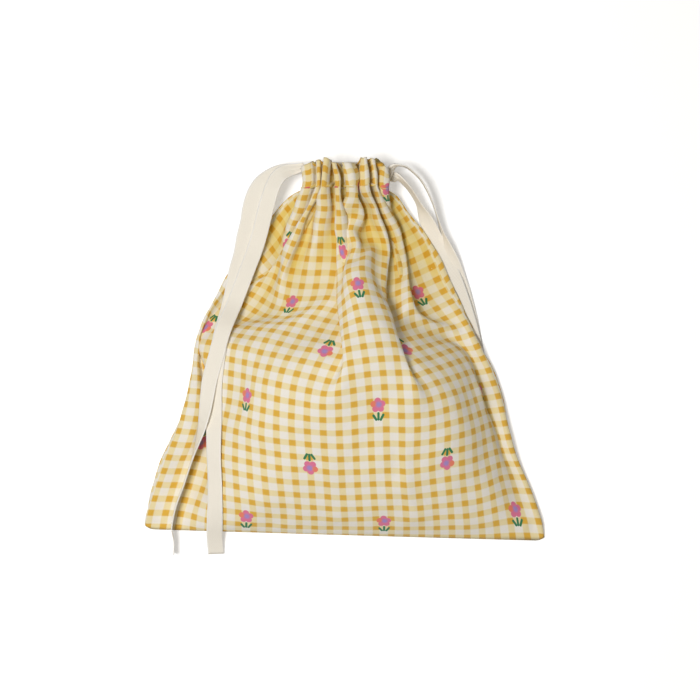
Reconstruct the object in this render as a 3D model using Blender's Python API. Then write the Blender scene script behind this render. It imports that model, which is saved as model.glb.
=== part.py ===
"""Kinchaku drawstring pouch, drawn shut and lying on its back.

One cloth folded at the bottom makes the pouch: its sides are sewn up to a slit near the top,
and each panel's top edge is turned in and sewn down as a tunnel. Two flat ribbons run right
round through both tunnels, one leaving at the left slit and one at the right.

X runs across the pouch, Y from the bottom fold to the mouth, Z up from the surface it lies on.
"""

import math

import bmesh
import bpy
import numpy as np

MM = 0.001

# Overall sizes of the filled, gathered pouch
BOTTOM_WIDTH = 250 * MM
POUCH_HEIGHT = 233 * MM
BODY_DEPTH = 54 * MM
BOTTOM_SLOPE = 7.5 * MM  # how much lower the right bottom corner sits than the left one

# Gathered neck: the oval that the ribbons follow round the mouth
NECK_HALF_WIDTH = 23 * MM
NECK_HALF_DEPTH = 12 * MM
PLEATS = 18
PLEAT_DEPTH = 3 * MM

# Cloth, and the tunnel for the ribbons
CLOTH = 1.2 * MM
SEAM_ALLOWANCE = 5 * MM
SEAM_GAP = 0.6 * MM  # the hollow's height where front and back meet at a seam
TUNNEL_ROOM = 2.4 * MM  # between the tunnel's walls and the ribbons, both sides together
TUNNEL_TOP = 2.1 * MM  # cloth over the tunnel at the top fold
SLIT_WIDTH = 9 * MM
SLIT_BELOW_TUNNEL = 2.5 * MM

# Ribbons
RIBBON_WIDTH = 10 * MM
RIBBON_THICKNESS = 0.8 * MM
BUNCHED_WIDTH = 5.5 * MM  # a ribbon inside the gathered tunnel is crumpled to about this width
RIBBON_STEP = 7 * MM
TRACK_GAP = 1.0 * MM  # between the two ribbons where they run one over the other
CLEAR = 0.3 * MM

# Level on the pouch as a share of its height, and how far each side has come in from the
# bottom width to the neck width there
SIDE_LEVELS = [0, 0.04, 0.14, 0.22, 0.30, 0.37, 0.45, 0.52, 0.60, 0.70, 0.80, 0.87, 0.92, 1]
LEFT_SIDE = [0.015, 0.005, 0.06, 0.12, 0.22, 0.27, 0.31, 0.32, 0.40, 0.54, 0.73, 0.85, 0.95, 1]
RIGHT_SIDE = [0.02, 0.005, 0.10, 0.19, 0.235, 0.26, 0.33, 0.43, 0.51, 0.625, 0.76, 0.91, 0.99, 1]

# Level, the seam's height over the surface, and the front's rise over the seam, as shares of
# the body's depth
DEPTH_LEVELS = [0, 0.02, 0.06, 0.14, 0.26, 0.40, 0.45, 0.50, 0.56, 0.62, 0.70, 0.78, 0.84, 0.93, 1]
SEAM_HEIGHT = [0.028, 0.045, 0.08, 0.11, 0.125, 0.12, 0.12, 0.11, 0.10, 0.09, 0.08, 0.09, 0.13, 0.333, 0.333]
FRONT_RISE = [0.028, 0.145, 0.33, 0.50, 0.69, 0.86, 0.88, 0.78, 0.62, 0.48, 0.39, 0.37, 0.37, 0.335, 0.333]

# Level, and the two exponents of the front's dome there, (1 - across ** first) ** second: it
# is full and steep-sided over the contents, and a low ridge between them and the neck
DOME_LEVELS = [0, 0.12, 0.40, 0.52, 0.66, 0.85, 1]
DOME_FULLNESS = [3.0, 3.4, 3.4, 2.6, 2.0, 2.0, 2.0]
DOME_EDGE = [0.9, 0.85, 0.85, 1.2, 1.8, 1.6, 1.6]

# The contents reach these shares of the way to the side seams. The cloth beyond them is a low
# margin, which stands over the seams by a share of the dome and falls only close to them
LEFT_REACH = 0.72
RIGHT_REACH = 0.93
MARGIN_RISE = 0.07
MARGIN_FULLNESS = 6

# Above this level the section turns from a dome on a flat base into the neck's oval
NECK_LEVEL = 0.7

# Level, and the pleats' depth there as a share of their depth at the neck
PLEAT_LEVELS = [0, 0.55, 0.70, 0.86, 0.93, 1]
PLEAT_SHARE = [0, 0, 0.5, 1.25, 1, 1]

# The underside is flat out to this share of the half-width, then curves up to the seams
FLAT_SHARE = 0.5

POINTS_PER_PLEAT = 6
AROUND = PLEATS * POINTS_PER_PLEAT

TUNNEL_DEPTH = RIBBON_THICKNESS + TUNNEL_ROOM
TUNNEL_HEIGHT = 2 * BUNCHED_WIDTH + TRACK_GAP + 4 * CLEAR
TUNNEL_TOP_LEVEL = 1 - TUNNEL_TOP / POUCH_HEIGHT
TUNNEL_BOTTOM_LEVEL = TUNNEL_TOP_LEVEL - TUNNEL_HEIGHT / POUCH_HEIGHT
HEM_LEVEL = TUNNEL_BOTTOM_LEVEL - CLOTH / POUCH_HEIGHT
NECK_CENTRE = SEAM_HEIGHT[-1] * BODY_DEPTH
HEM_HALF_THICKNESS = TUNNEL_DEPTH / 2 + CLOTH


def clear_scene():
    for old in list(bpy.data.objects):
        bpy.data.objects.remove(old, do_unlink=True)


def principled(name, colour, roughness):
    material = bpy.data.materials.new(name)
    material.use_nodes = True
    shader = material.node_tree.nodes["Principled BSDF"]
    shader.inputs["Base Color"].default_value = (*colour, 1)
    shader.inputs["Roughness"].default_value = roughness
    shader.inputs["Metallic"].default_value = 0
    return material


def smooth_through(levels, values, t):
    """A smooth curve through the values that never overshoots them."""
    levels = np.asarray(levels, float)
    values = np.asarray(values, float)
    steps = np.diff(levels)
    slopes = np.diff(values) / steps
    ends = [slopes[:1], slopes[-1:]]
    product = slopes[:-1] * slopes[1:]
    mean = 2 * product / np.where(product > 0, slopes[:-1] + slopes[1:], 1)
    tangents = np.concatenate([ends[0], np.where(product > 0, mean, 0), ends[1]])
    i = np.clip(np.searchsorted(levels, t, side="right") - 1, 0, len(steps) - 1)
    s = (t - levels[i]) / steps[i]
    here = (1 + 2 * s) * (1 - s) ** 2 * values[i] + s**2 * (3 - 2 * s) * values[i + 1]
    lean = s * (1 - s) ** 2 * tangents[i] - s**2 * (1 - s) * tangents[i + 1]
    return here + lean * steps[i]


def even_angles():
    """Angles round the neck's oval that are evenly spaced along its length, from +X over +Z."""
    fine = np.linspace(0, math.tau, 2881)
    oval = np.column_stack([NECK_HALF_WIDTH * np.cos(fine), NECK_HALF_DEPTH * np.sin(fine)])
    run = np.concatenate([[0], np.cumsum(np.linalg.norm(np.diff(oval, axis=0), axis=1))])
    return np.interp(np.arange(AROUND) / AROUND * run[-1], run, fine)


ANGLES = even_angles()
PLEAT_WAVE = 0.5 - 0.5 * np.cos(math.tau * np.arange(AROUND) / POINTS_PER_PLEAT)


def level_height(t):
    """Y of a level. The sloping bottom edge is centred on the origin with the mouth."""
    return (t - 0.5) * POUCH_HEIGHT + BOTTOM_SLOPE / 4


def ring_points(x, z, t):
    """Points of one level, with the bottom's slope, which fades towards the neck."""
    y = level_height(t) - BOTTOM_SLOPE * (x / BOTTOM_WIDTH) * (1 - t) ** 2
    return np.column_stack([x, y, z])


def hem_ring(offset, t):
    """The neck's oval, moved outwards by offset."""
    x = (NECK_HALF_WIDTH + offset) * np.cos(ANGLES)
    z = NECK_CENTRE + (NECK_HALF_DEPTH + offset) * np.sin(ANGLES)
    return ring_points(x, z, t)


def body_ring(t, wall, seam):
    """One level of the pouch: outside with no wall and seam, or inside with both."""
    pleat = PLEAT_DEPTH * smooth_through(PLEAT_LEVELS, PLEAT_SHARE, t)
    neck = NECK_HALF_WIDTH + HEM_HALF_THICKNESS + PLEAT_DEPTH
    left = BOTTOM_WIDTH / 2 + (neck - BOTTOM_WIDTH / 2) * smooth_through(SIDE_LEVELS, LEFT_SIDE, t)
    right = BOTTOM_WIDTH / 2 + (neck - BOTTOM_WIDTH / 2) * smooth_through(SIDE_LEVELS, RIGHT_SIDE, t)
    seam_height = BODY_DEPTH * smooth_through(DEPTH_LEVELS, SEAM_HEIGHT, t)
    rise = BODY_DEPTH * smooth_through(DEPTH_LEVELS, FRONT_RISE, t)
    body = np.clip((HEM_LEVEL - t) / (HEM_LEVEL - NECK_LEVEL), 0, 1)
    across = np.cos(ANGLES)
    up = np.sin(ANGLES)
    outer_half = np.where(across > 0, right, left) - pleat
    half = outer_half - seam
    out = np.abs(across) * half / outer_half
    reach = 1 - body * (1 - np.where(across > 0, RIGHT_REACH, LEFT_REACH))
    fullness = smooth_through(DOME_LEVELS, DOME_FULLNESS, t)
    edge = smooth_through(DOME_LEVELS, DOME_EDGE, t)
    dome = np.clip(1 - (out / reach) ** fullness, 0, 1) ** edge
    margin = MARGIN_RISE * (1 - dome) * (1 - out**MARGIN_FULLNESS)
    base = 1 - np.clip((out - FLAT_SHARE) / (1 - FLAT_SHARE), 0, 1) ** 2
    oval = np.sqrt(np.clip(1 - out**2, 0, 1))
    front = (1 - body) * oval + body * (dome + margin)
    back = (1 - body) * oval + body * base
    least = SEAM_GAP / 2 * np.abs(up) if wall else 0
    over = np.maximum((rise - pleat) * front - wall, least)
    under = np.maximum((seam_height - pleat) * back - wall, least)
    x = across * (half + pleat * PLEAT_WAVE)
    z = seam_height + np.where(up >= 0, over, -under) + pleat * PLEAT_WAVE * up
    return ring_points(x, z, t)


def ring_faces(rings):
    """Quads between each ring and the next."""
    faces = []
    for row in range(rings - 1):
        for k in range(AROUND):
            here = row * AROUND + k
            beside = row * AROUND + (k + 1) % AROUND
            faces.append((here, beside, beside + AROUND, here + AROUND))
    return faces


def flat_cap(first):
    """Faces that close a flattened ring between its front and its back half."""
    faces = []
    for k in range(AROUND // 2):
        a = first + k
        b = first + k + 1
        c = first + (AROUND - k - 1) % AROUND
        d = first + (AROUND - k) % AROUND
        corners = [a, b, c, d]
        faces.append([v for i, v in enumerate(corners) if v not in corners[:i]])
    return faces


def add_mesh(name, points, faces, material):
    mesh = bpy.data.meshes.new(name)
    mesh.from_pydata([tuple(p) for p in points], [], faces)
    clean = bmesh.new()
    clean.from_mesh(mesh)
    bmesh.ops.recalc_face_normals(clean, faces=clean.faces)
    clean.to_mesh(mesh)
    clean.free()
    mesh.shade_smooth()
    mesh.set_sharp_from_angle(angle=math.radians(50))
    piece = bpy.data.objects.new(name, mesh)
    bpy.context.collection.objects.link(piece)
    if material:
        mesh.materials.append(material)
    return piece


def add_cutter(name, points, faces, target):
    cutter = add_mesh(name, points, faces, None)
    cutter.hide_render = True
    cutter.display_type = "WIRE"
    cut = target.modifiers.new(name, "BOOLEAN")
    cut.operation = "DIFFERENCE"
    cut.solver = "EXACT"
    cut.object = cutter


def make_shell(material):
    """The outside from the fold up, over the turned-in top, and down the inside again."""
    pleats = PLEAT_DEPTH * PLEAT_WAVE
    outside = [0, 0.006, 0.02, 0.045, 0.08, 0.14, 0.22, 0.31, 0.38, 0.44, 0.49, 0.54, 0.59, 0.64]
    outside += [0.70, 0.76, 0.81, 0.855, 0.895, HEM_LEVEL]
    rings = [body_ring(t, 0, 0) for t in outside]
    rings.append(hem_ring(HEM_HALF_THICKNESS + pleats, 1 - CLOTH / POUCH_HEIGHT))
    rings.append(hem_ring((HEM_HALF_THICKNESS + pleats) / 2, 1))
    rings.append(hem_ring(-(HEM_HALF_THICKNESS + pleats) / 2, 1))
    rings.append(hem_ring(-HEM_HALF_THICKNESS - pleats, 1 - CLOTH / POUCH_HEIGHT))
    rings.append(hem_ring(-HEM_HALF_THICKNESS - pleats, HEM_LEVEL))
    rings.append(body_ring(HEM_LEVEL - 0.01, CLOTH, CLOTH))
    inside = [t for t in outside[2:-1] if t < HEM_LEVEL - 0.03]
    rings += [body_ring(t, CLOTH, SEAM_ALLOWANCE) for t in reversed(inside)]
    faces = ring_faces(len(rings))
    faces += flat_cap(0)
    faces += flat_cap((len(rings) - 1) * AROUND)
    return add_mesh("pouch_cloth", np.vstack(rings), faces, material)


def cut_tunnel(shell):
    """The ribbon tunnel, widest under each pleat."""
    room = TUNNEL_DEPTH / 2 + PLEAT_DEPTH * PLEAT_WAVE
    rings = [
        hem_ring(room, TUNNEL_BOTTOM_LEVEL),
        hem_ring(room, TUNNEL_TOP_LEVEL),
        hem_ring(-room, TUNNEL_TOP_LEVEL),
        hem_ring(-room, TUNNEL_BOTTOM_LEVEL),
        hem_ring(room, TUNNEL_BOTTOM_LEVEL),
    ]
    faces = ring_faces(len(rings))
    last = (len(rings) - 1) * AROUND
    faces = [tuple(v - last if v >= last else v for v in face) for face in faces]
    add_cutter("tunnel", np.vstack(rings[:-1]), faces, shell)


def cut_slit(shell, side):
    """The open end of the side seam, where the ribbons come out."""
    reach = HEM_HALF_THICKNESS + PLEAT_DEPTH + CLOTH
    near = side * (NECK_HALF_WIDTH - reach)
    far = side * (NECK_HALF_WIDTH + 2 * reach)
    low = level_height(TUNNEL_BOTTOM_LEVEL) - SLIT_BELOW_TUNNEL
    high = level_height(1) + CLOTH
    under = NECK_CENTRE - SLIT_WIDTH / 2
    over = NECK_CENTRE + SLIT_WIDTH / 2
    points = [(x, y, z) for x in (near, far) for y in (low, high) for z in (under, over)]
    faces = [(0, 1, 3, 2), (4, 6, 7, 5), (0, 4, 5, 1), (2, 3, 7, 6), (0, 2, 6, 4), (1, 5, 7, 3)]
    add_cutter("slit_left" if side < 0 else "slit_right", points, faces, shell)


def catmull_rom(values, per_span):
    """A smooth curve through every row of values."""
    values = np.asarray(values, float)
    ends = [2 * values[0] - values[1], 2 * values[-1] - values[-2]]
    padded = np.vstack([ends[0], values, ends[1]])
    s = np.linspace(0, 1, per_span, endpoint=False)[:, None]
    spans = []
    for i in range(len(values) - 1):
        a, b, c, d = padded[i : i + 4]
        bend = 2 * a - 5 * b + 4 * c - d
        twist = 3 * (b - c) + d - a
        spans.append(b + 0.5 * s * (c - a + s * (bend + s * twist)))
    return np.vstack([*spans, values[-1:]])


def ribbon_solid(name, route, material):
    """A flat band swept along a route. Each row of the route is a point, the direction of the
    band's width there, and how far the band is bunched, from 0 flat to 1 as in the tunnel."""
    fine = catmull_rom(route, 24)
    run = np.concatenate([[0], np.cumsum(np.linalg.norm(np.diff(fine[:, :3], axis=0), axis=1))])
    count = int(round(run[-1] / RIBBON_STEP)) + 1
    stops = np.linspace(0, run[-1], count)
    row = np.column_stack([np.interp(stops, run, fine[:, i]) for i in range(fine.shape[1])])
    centre = row[:, :3]
    along = np.gradient(centre, axis=0)
    along /= np.linalg.norm(along, axis=1)[:, None]
    across = row[:, 3:6] - along * np.sum(row[:, 3:6] * along, axis=1)[:, None]
    across /= np.linalg.norm(across, axis=1)[:, None]
    face = np.cross(along, across)
    width = RIBBON_WIDTH + (BUNCHED_WIDTH - RIBBON_WIDTH) * np.clip(row[:, 6], 0, 1)
    thickness = RIBBON_WIDTH * RIBBON_THICKNESS / width
    half = across * width[:, None] / 2
    rise = face * thickness[:, None] / 2
    corners = [centre - half - rise, centre + half - rise, centre + half + rise, centre - half + rise]
    points = np.stack(corners, axis=1).reshape(-1, 3)
    faces = []
    for i in range(count - 1):
        for k in range(4):
            a = 4 * i + k
            b = 4 * i + (k + 1) % 4
            faces.append((a, b, b + 4, a + 4))
    faces.append((3, 2, 1, 0))
    faces.append(tuple(4 * count - 4 + k for k in range(4)))
    print(name, "length", round(run[-1] / MM), "mm")
    return add_mesh(name, points, faces, material)


def tunnel_run(height, side):
    """The stretch of a ribbon inside the tunnels, from the front tunnel's end at one side, over
    the front, across the other slit, and back under to the back tunnel's end."""
    start = math.asin(min(1, (SLIT_WIDTH / 2 + CLEAR) / NECK_HALF_DEPTH))
    angles = np.linspace(start, math.tau - start, 25)
    rows = []
    for angle in angles:
        x = side * NECK_HALF_WIDTH * math.cos(angle)
        z = NECK_CENTRE + NECK_HALF_DEPTH * math.sin(angle)
        rows.append((x, height, z, 0, 1, 0, 1))
    return rows


def in_metres(route):
    """A tail's route: its points are written in millimetres."""
    return [(x * MM, y * MM, z * MM, *rest) for x, y, z, *rest in route]


# The tails as they lie: x, y, z in millimetres, the direction of the ribbon's width, and how
# far it is bunched. Each list runs from the slit to the cut end.
LEFT_FRONT_TAIL = [
    (-25.0, 112.5, 20.6, 0, 1, 0, 1.0),
    (-30.0, 111.5, 19.8, 0, 1, 0, 0.8),
    (-34.5, 110.5, 20.0, -0.2, 0.9, -0.2, 0.4),
    (-39.0, 108.5, 20.4, -0.4, 0.8, -0.3, 0.1),
    (-42.5, 104.5, 20.2, -0.65, 0.55, -0.3, 0),
    (-45.0, 99.0, 20.2, -0.75, 0.35, -0.3, 0),
    (-47.5, 91.5, 19.0, -0.85, 0.2, -0.25, 0),
    (-50.0, 83.0, 17.4, -0.9, 0.2, -0.2, 0),
    (-52.5, 73.5, 16.0, -0.95, 0.2, -0.2, 0),
    (-56.0, 62.5, 14.6, -1, 0.2, -0.2, 0),
    (-61.0, 49.0, 13.4, -1, 0.2, -0.25, 0),
    (-68.0, 30.5, 13.0, -1, 0.2, -0.3, 0),
    (-75.0, 12.0, 13.0, -1, 0.2, -0.3, 0),
    (-79.5, -4.5, 13.0, -1, 0.2, -0.25, 0),
    (-83.0, -17.5, 13.0, -0.95, 0.1, -0.3, 0),
    (-84.5, -26.5, 13.0, -0.9, 0.1, -0.45, 0),
    (-86.5, -39.5, 13.5, -0.7, 0.1, -0.7, 0),
    (-88.5, -49.0, 14.0, -0.5, 0.1, -0.9, 0),
    (-91.5, -58.0, 14.2, -0.3, 0, -1, 0),
    (-94.5, -66.5, 14.0, -0.15, 0, -1, 0),
    (-97.0, -74.0, 13.0, -0.1, 0, -1, 0),
    (-100.5, -84.5, 12.5, -0.1, 0, -1, 0),
    (-103.5, -92.5, 12.0, -0.1, 0, -1, 0),
    (-105.5, -99.0, 11.0, -0.1, 0, -1, 0),
    (-107.5, -110.0, 9.0, -0.1, 0, -1, 0),
    (-106.5, -118.5, 6.5, -0.1, 0, -1, 0),
    (-106.5, -126.5, 6.0, -0.1, 0, -1, 0),
]
LEFT_BACK_TAIL = [
    (-25.0, 112.5, 15.6, 0, 1, 0, 1.0),
    (-30.0, 111.5, 16.2, 0, 1, 0, 0.8),
    (-35.0, 111.0, 16.6, -0.1, 0.95, -0.1, 0.4),
    (-41.0, 109.5, 16.6, -0.3, 0.85, -0.2, 0.1),
    (-47.0, 106.5, 16.2, -0.5, 0.75, -0.25, 0),
    (-52.0, 102.5, 15.6, -0.75, 0.5, -0.25, 0),
    (-56.0, 96.0, 14.6, -0.9, 0.3, -0.2, 0),
    (-58.5, 88.0, 13.2, -1, 0.15, -0.15, 0),
    (-60.0, 79.5, 11.6, -1, 0.1, -0.1, 0),
    (-62.5, 70.0, 10.0, -1, 0.1, -0.1, 0),
    (-64.5, 59.5, 9.0, -1, 0.1, -0.1, 0),
    (-67.5, 48.5, 8.5, -1, 0.1, -0.15, 0),
    (-70.0, 35.5, 9.0, -1, 0.1, -0.2, 0),
    (-73.0, 23.5, 9.5, -1, 0.1, -0.2, 0),
    (-76.0, 10.5, 10.0, -1, 0.1, -0.2, 0),
    (-78.0, -1.0, 10.5, -1, 0.1, -0.2, 0),
    (-79.5, -12.0, 10.5, -1, 0, -0.2, 0),
    (-80.5, -24.5, 10.5, -1, 0, -0.2, 0),
    (-80.5, -39.5, 11.0, -1, 0, -0.2, 0),
    (-80.5, -52.5, 14.4, -1, 0, -0.4, 0),
    (-80.5, -66.5, 17.2, -1, 0, -0.55, 0),
    (-80.0, -82.0, 17.0, -1, 0, -0.5, 0),
    (-80.0, -94.5, 14.4, -1, 0, -0.4, 0),
    (-80.5, -106.0, 9.5, -1, 0, -0.15, 0),
    (-81.0, -115.5, 4.5, -1, 0, 0, 0),
    (-80.5, -127.0, 1.0, -1, 0, 0, 0),
]
RIGHT_FRONT_TAIL = [
    (25.5, 107.0, 20.0, 0, 1, 0, 1.0),
    (28.5, 110.8, 19.9, -0.2, 0.75, 0.5, 0.9),
    (32.0, 113.5, 18.5, 0, 0, 1, 0.5),
    (37.0, 113.2, 17.5, 0, 0, 1, 0.1),
    (42.0, 110.0, 16.0, 0, 0, 1, 0),
    (47.0, 105.0, 14.5, 0, 0, 1, 0),
    (51.0, 98.5, 12.5, 0, 0, 1, 0),
    (54.5, 91.0, 10.0, 0, 0, 1, 0),
    (57.5, 82.5, 7.5, 0, 0, 1, 0),
    (60.5, 73.5, 5.5, 0.15, 0, 1, 0),
    (64.0, 63.0, 4.2, 0.6, 0.1, 0.7, 0),
    (68.5, 51.0, 2.0, 0.9, 0.2, 0.25, 0),
    (71.0, 44.0, 1.1, 0.97, 0.25, 0.1, 0),
    (74.0, 35.0, 0.8, 1, 0.3, 0, 0),
    (78.0, 19.0, 0.8, 1, 0.2, 0, 0),
    (81.5, 0.0, 0.8, 1, 0.15, 0, 0),
    (84.5, -18.0, 0.8, 1, 0.05, 0, 0),
    (87.0, -36.0, 0.8, 1, 0.1, 0, 0),
    (91.0, -54.0, 0.8, 1, 0.3, 0, 0),
    (97.5, -72.0, 0.8, 1, 0.4, 0, 0),
    (104.0, -90.0, 0.8, 1, 0.3, 0, 0),
    (108.5, -106.0, 0.8, 1, 0.25, 0, 0),
]
RIGHT_BACK_TAIL = [
    (25.5, 107.0, 15.0, 0, 1, 0, 1.0),
    (29.5, 107.0, 15.8, 0, 0.95, 0.05, 0.9),
    (34.0, 105.5, 15.6, 0.1, 0.3, 1, 0.4),
    (38.5, 101.5, 13.0, 0.15, 0.1, 1, 0.1),
    (42.5, 96.5, 9.5, 0.2, 0, 1, 0),
    (46.5, 90.0, 7.0, 0.3, 0, 0.9, 0),
    (50.5, 81.5, 4.8, 0.7, 0.1, 0.5, 0),
    (55.0, 71.5, 3.0, 0.9, 0.2, 0.15, 0),
    (60.5, 60.0, 2.4, 0.95, 0.3, 0.05, 0),
    (66.5, 48.5, 2.3, 0.95, 0.35, 0, 0),
    (72.0, 34.0, 2.1, 1, 0.3, 0, 0),
    (77.0, 18.0, 2.1, 1, 0.25, 0, 0),
    (81.5, 0.0, 2.1, 1, 0.25, 0, 0),
    (86.5, -18.0, 2.1, 1, 0.25, 0, 0),
    (91.0, -36.0, 2.1, 1, 0.2, 0, 0),
    (95.0, -54.0, 2.1, 1, 0.15, 0, 0),
    (99.5, -72.0, 2.1, 1, 0.2, 0, 0),
    (104.0, -88.0, 2.0, 1, 0.25, 0, 0),
]


def make_drawstring(name, front_tail, back_tail, height, side, material):
    route = list(reversed(in_metres(front_tail)))
    route += tunnel_run(height, side)
    route += in_metres(back_tail)
    return ribbon_solid(name, route, material)


def build():
    clear_scene()
    cotton = principled("printed_cotton", (0.86, 0.69, 0.33), 0.85)
    tape = principled("cream_ribbon", (0.83, 0.77, 0.65), 0.7)
    shell = make_shell(cotton)
    cut_tunnel(shell)
    cut_slit(shell, -1)
    cut_slit(shell, 1)
    tracks = (level_height(TUNNEL_BOTTOM_LEVEL), level_height(TUNNEL_TOP_LEVEL))
    lower = tracks[0] + 2 * CLEAR + BUNCHED_WIDTH / 2
    upper = tracks[1] - 2 * CLEAR - BUNCHED_WIDTH / 2
    make_drawstring("left_drawstring", LEFT_FRONT_TAIL, LEFT_BACK_TAIL, upper, -1, tape)
    make_drawstring("right_drawstring", RIGHT_FRONT_TAIL, RIGHT_BACK_TAIL, lower, 1, tape)


build()
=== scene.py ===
# %% [markdown]
# # A kinchaku: a cotton pouch that two ribbons draw shut
#
# The pouch is one printed cotton cloth, folded at the bottom and sewn up both sides. Each
# panel's top edge is turned in and sewn down as a tunnel, and two flat ribbons run right
# round through both tunnels: one leaves at the left slit, the other at the right. Here it is
# filled, drawn shut and laid on its back.
#
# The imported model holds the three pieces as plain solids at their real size. This script
# gives them their looks. It works in millimetres and turns them into metres at the end.

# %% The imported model
import math

import bpy
import numpy as np
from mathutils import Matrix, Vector


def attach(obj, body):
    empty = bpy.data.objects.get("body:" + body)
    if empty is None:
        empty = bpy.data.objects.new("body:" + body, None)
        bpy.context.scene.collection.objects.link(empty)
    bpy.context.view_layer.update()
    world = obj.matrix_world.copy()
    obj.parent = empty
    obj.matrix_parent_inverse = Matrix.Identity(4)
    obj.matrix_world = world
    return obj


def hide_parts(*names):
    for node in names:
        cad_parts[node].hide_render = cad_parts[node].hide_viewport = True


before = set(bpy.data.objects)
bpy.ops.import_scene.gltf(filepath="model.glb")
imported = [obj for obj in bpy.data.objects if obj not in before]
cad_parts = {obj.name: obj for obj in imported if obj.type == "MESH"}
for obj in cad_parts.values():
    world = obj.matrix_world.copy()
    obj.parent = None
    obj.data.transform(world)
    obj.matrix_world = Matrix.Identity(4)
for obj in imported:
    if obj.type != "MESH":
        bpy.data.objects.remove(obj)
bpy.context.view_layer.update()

MM = 0.001
TINY = 1e-9  # keeps a division from meeting zero
print("solid pieces:", sorted(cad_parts))

# %% [markdown]
# ## The camera
#
# The pouch was photographed from straight above. A camera with no rotation looks down, with
# +Y at the top of the picture. At 1.1 m up, a 90.5 mm lens on a 36 mm sensor takes in
# 0.4376 m, so the pouch fills the picture as it does in the photograph.

# %% Camera
CAMERA_PLACE = (0.0031, 0.0003, 1.1)
CAMERA_LENS = 90.5
CAMERA_SENSOR = 36
NEAREST_SEEN = 0.01


def add_object(name, data):
    """Puts a new object at the origin, with its place in its mesh."""
    piece = bpy.data.objects.new(name, data)
    bpy.context.scene.collection.objects.link(piece)
    return piece


lens = bpy.data.cameras.new("camera")
lens.lens = CAMERA_LENS
lens.sensor_width = CAMERA_SENSOR
lens.clip_start = NEAREST_SEEN
camera = add_object("camera", lens)
camera.location = CAMERA_PLACE
bpy.context.scene.camera = camera
print("camera sees", round(CAMERA_PLACE[2] * CAMERA_SENSOR / CAMERA_LENS, 4), "m of the floor")

# %% [markdown]
# ## The ribbons' routes
#
# A tail's route is a short list of given points: where the ribbon is, which way its
# width points, and how far it is bunched from its flat 10 mm to what the tunnel leaves it.
# These are the same points that the solids have. The front tail leaves the front panel's
# tunnel and the back tail the back panel's.

# %% Tails, from the slit to the cut end: x, y, z, the way of the width, bunching
LEFT_FRONT_TAIL = [
    (-25.0, 112.5, 20.6, 0, 1, 0, 1.0),
    (-30.0, 111.5, 19.8, 0, 1, 0, 0.8),
    (-34.5, 110.5, 20.0, -0.2, 0.9, -0.2, 0.4),
    (-39.0, 108.5, 20.4, -0.4, 0.8, -0.3, 0.1),
    (-42.5, 104.5, 20.2, -0.65, 0.55, -0.3, 0),
    (-45.0, 99.0, 20.2, -0.75, 0.35, -0.3, 0),
    (-47.5, 91.5, 19.0, -0.85, 0.2, -0.25, 0),
    (-50.0, 83.0, 17.4, -0.9, 0.2, -0.2, 0),
    (-52.5, 73.5, 16.0, -0.95, 0.2, -0.2, 0),
    (-56.0, 62.5, 14.6, -1, 0.2, -0.2, 0),
    (-61.0, 49.0, 13.4, -1, 0.2, -0.25, 0),
    (-68.0, 30.5, 13.0, -1, 0.2, -0.3, 0),
    (-75.0, 12.0, 13.0, -1, 0.2, -0.3, 0),
    (-79.5, -4.5, 13.0, -1, 0.2, -0.25, 0),
    (-83.0, -17.5, 13.0, -0.95, 0.1, -0.3, 0),
    (-84.5, -26.5, 13.0, -0.9, 0.1, -0.45, 0),
    (-86.5, -39.5, 13.5, -0.7, 0.1, -0.7, 0),
    (-88.5, -49.0, 14.0, -0.5, 0.1, -0.9, 0),
    (-91.5, -58.0, 14.2, -0.3, 0, -1, 0),
    (-94.5, -66.5, 14.0, -0.15, 0, -1, 0),
    (-97.0, -74.0, 13.0, -0.1, 0, -1, 0),
    (-100.5, -84.5, 12.5, -0.1, 0, -1, 0),
    (-103.5, -92.5, 12.0, -0.1, 0, -1, 0),
    (-105.5, -99.0, 11.0, -0.1, 0, -1, 0),
    (-107.5, -110.0, 9.0, -0.1, 0, -1, 0),
    (-106.5, -118.5, 6.5, -0.1, 0, -1, 0),
    (-106.5, -126.5, 6.0, -0.1, 0, -1, 0),
]
LEFT_BACK_TAIL = [
    (-25.0, 112.5, 15.6, 0, 1, 0, 1.0),
    (-30.0, 111.5, 16.2, 0, 1, 0, 0.8),
    (-35.0, 111.0, 16.6, -0.1, 0.95, -0.1, 0.4),
    (-41.0, 109.5, 16.6, -0.3, 0.85, -0.2, 0.1),
    (-47.0, 106.5, 16.2, -0.5, 0.75, -0.25, 0),
    (-52.0, 102.5, 15.6, -0.75, 0.5, -0.25, 0),
    (-56.0, 96.0, 14.6, -0.9, 0.3, -0.2, 0),
    (-58.5, 88.0, 13.2, -1, 0.15, -0.15, 0),
    (-60.0, 79.5, 11.6, -1, 0.1, -0.1, 0),
    (-62.5, 70.0, 10.0, -1, 0.1, -0.1, 0),
    (-64.5, 59.5, 9.0, -1, 0.1, -0.1, 0),
    (-67.5, 48.5, 8.5, -1, 0.1, -0.15, 0),
    (-70.0, 35.5, 9.0, -1, 0.1, -0.2, 0),
    (-73.0, 23.5, 9.5, -1, 0.1, -0.2, 0),
    (-76.0, 10.5, 10.0, -1, 0.1, -0.2, 0),
    (-78.0, -1.0, 10.5, -1, 0.1, -0.2, 0),
    (-79.5, -12.0, 10.5, -1, 0, -0.2, 0),
    (-80.5, -24.5, 10.5, -1, 0, -0.2, 0),
    (-80.5, -39.5, 11.0, -1, 0, -0.2, 0),
    (-80.5, -52.5, 14.4, -1, 0, -0.4, 0),
    (-80.5, -66.5, 17.2, -1, 0, -0.55, 0),
    (-80.0, -82.0, 17.0, -1, 0, -0.5, 0),
    (-80.0, -94.5, 14.4, -1, 0, -0.4, 0),
    (-80.5, -106.0, 9.5, -1, 0, -0.15, 0),
    (-81.0, -115.5, 4.5, -1, 0, 0, 0),
    (-80.5, -127.0, 1.0, -1, 0, 0, 0),
]
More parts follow.
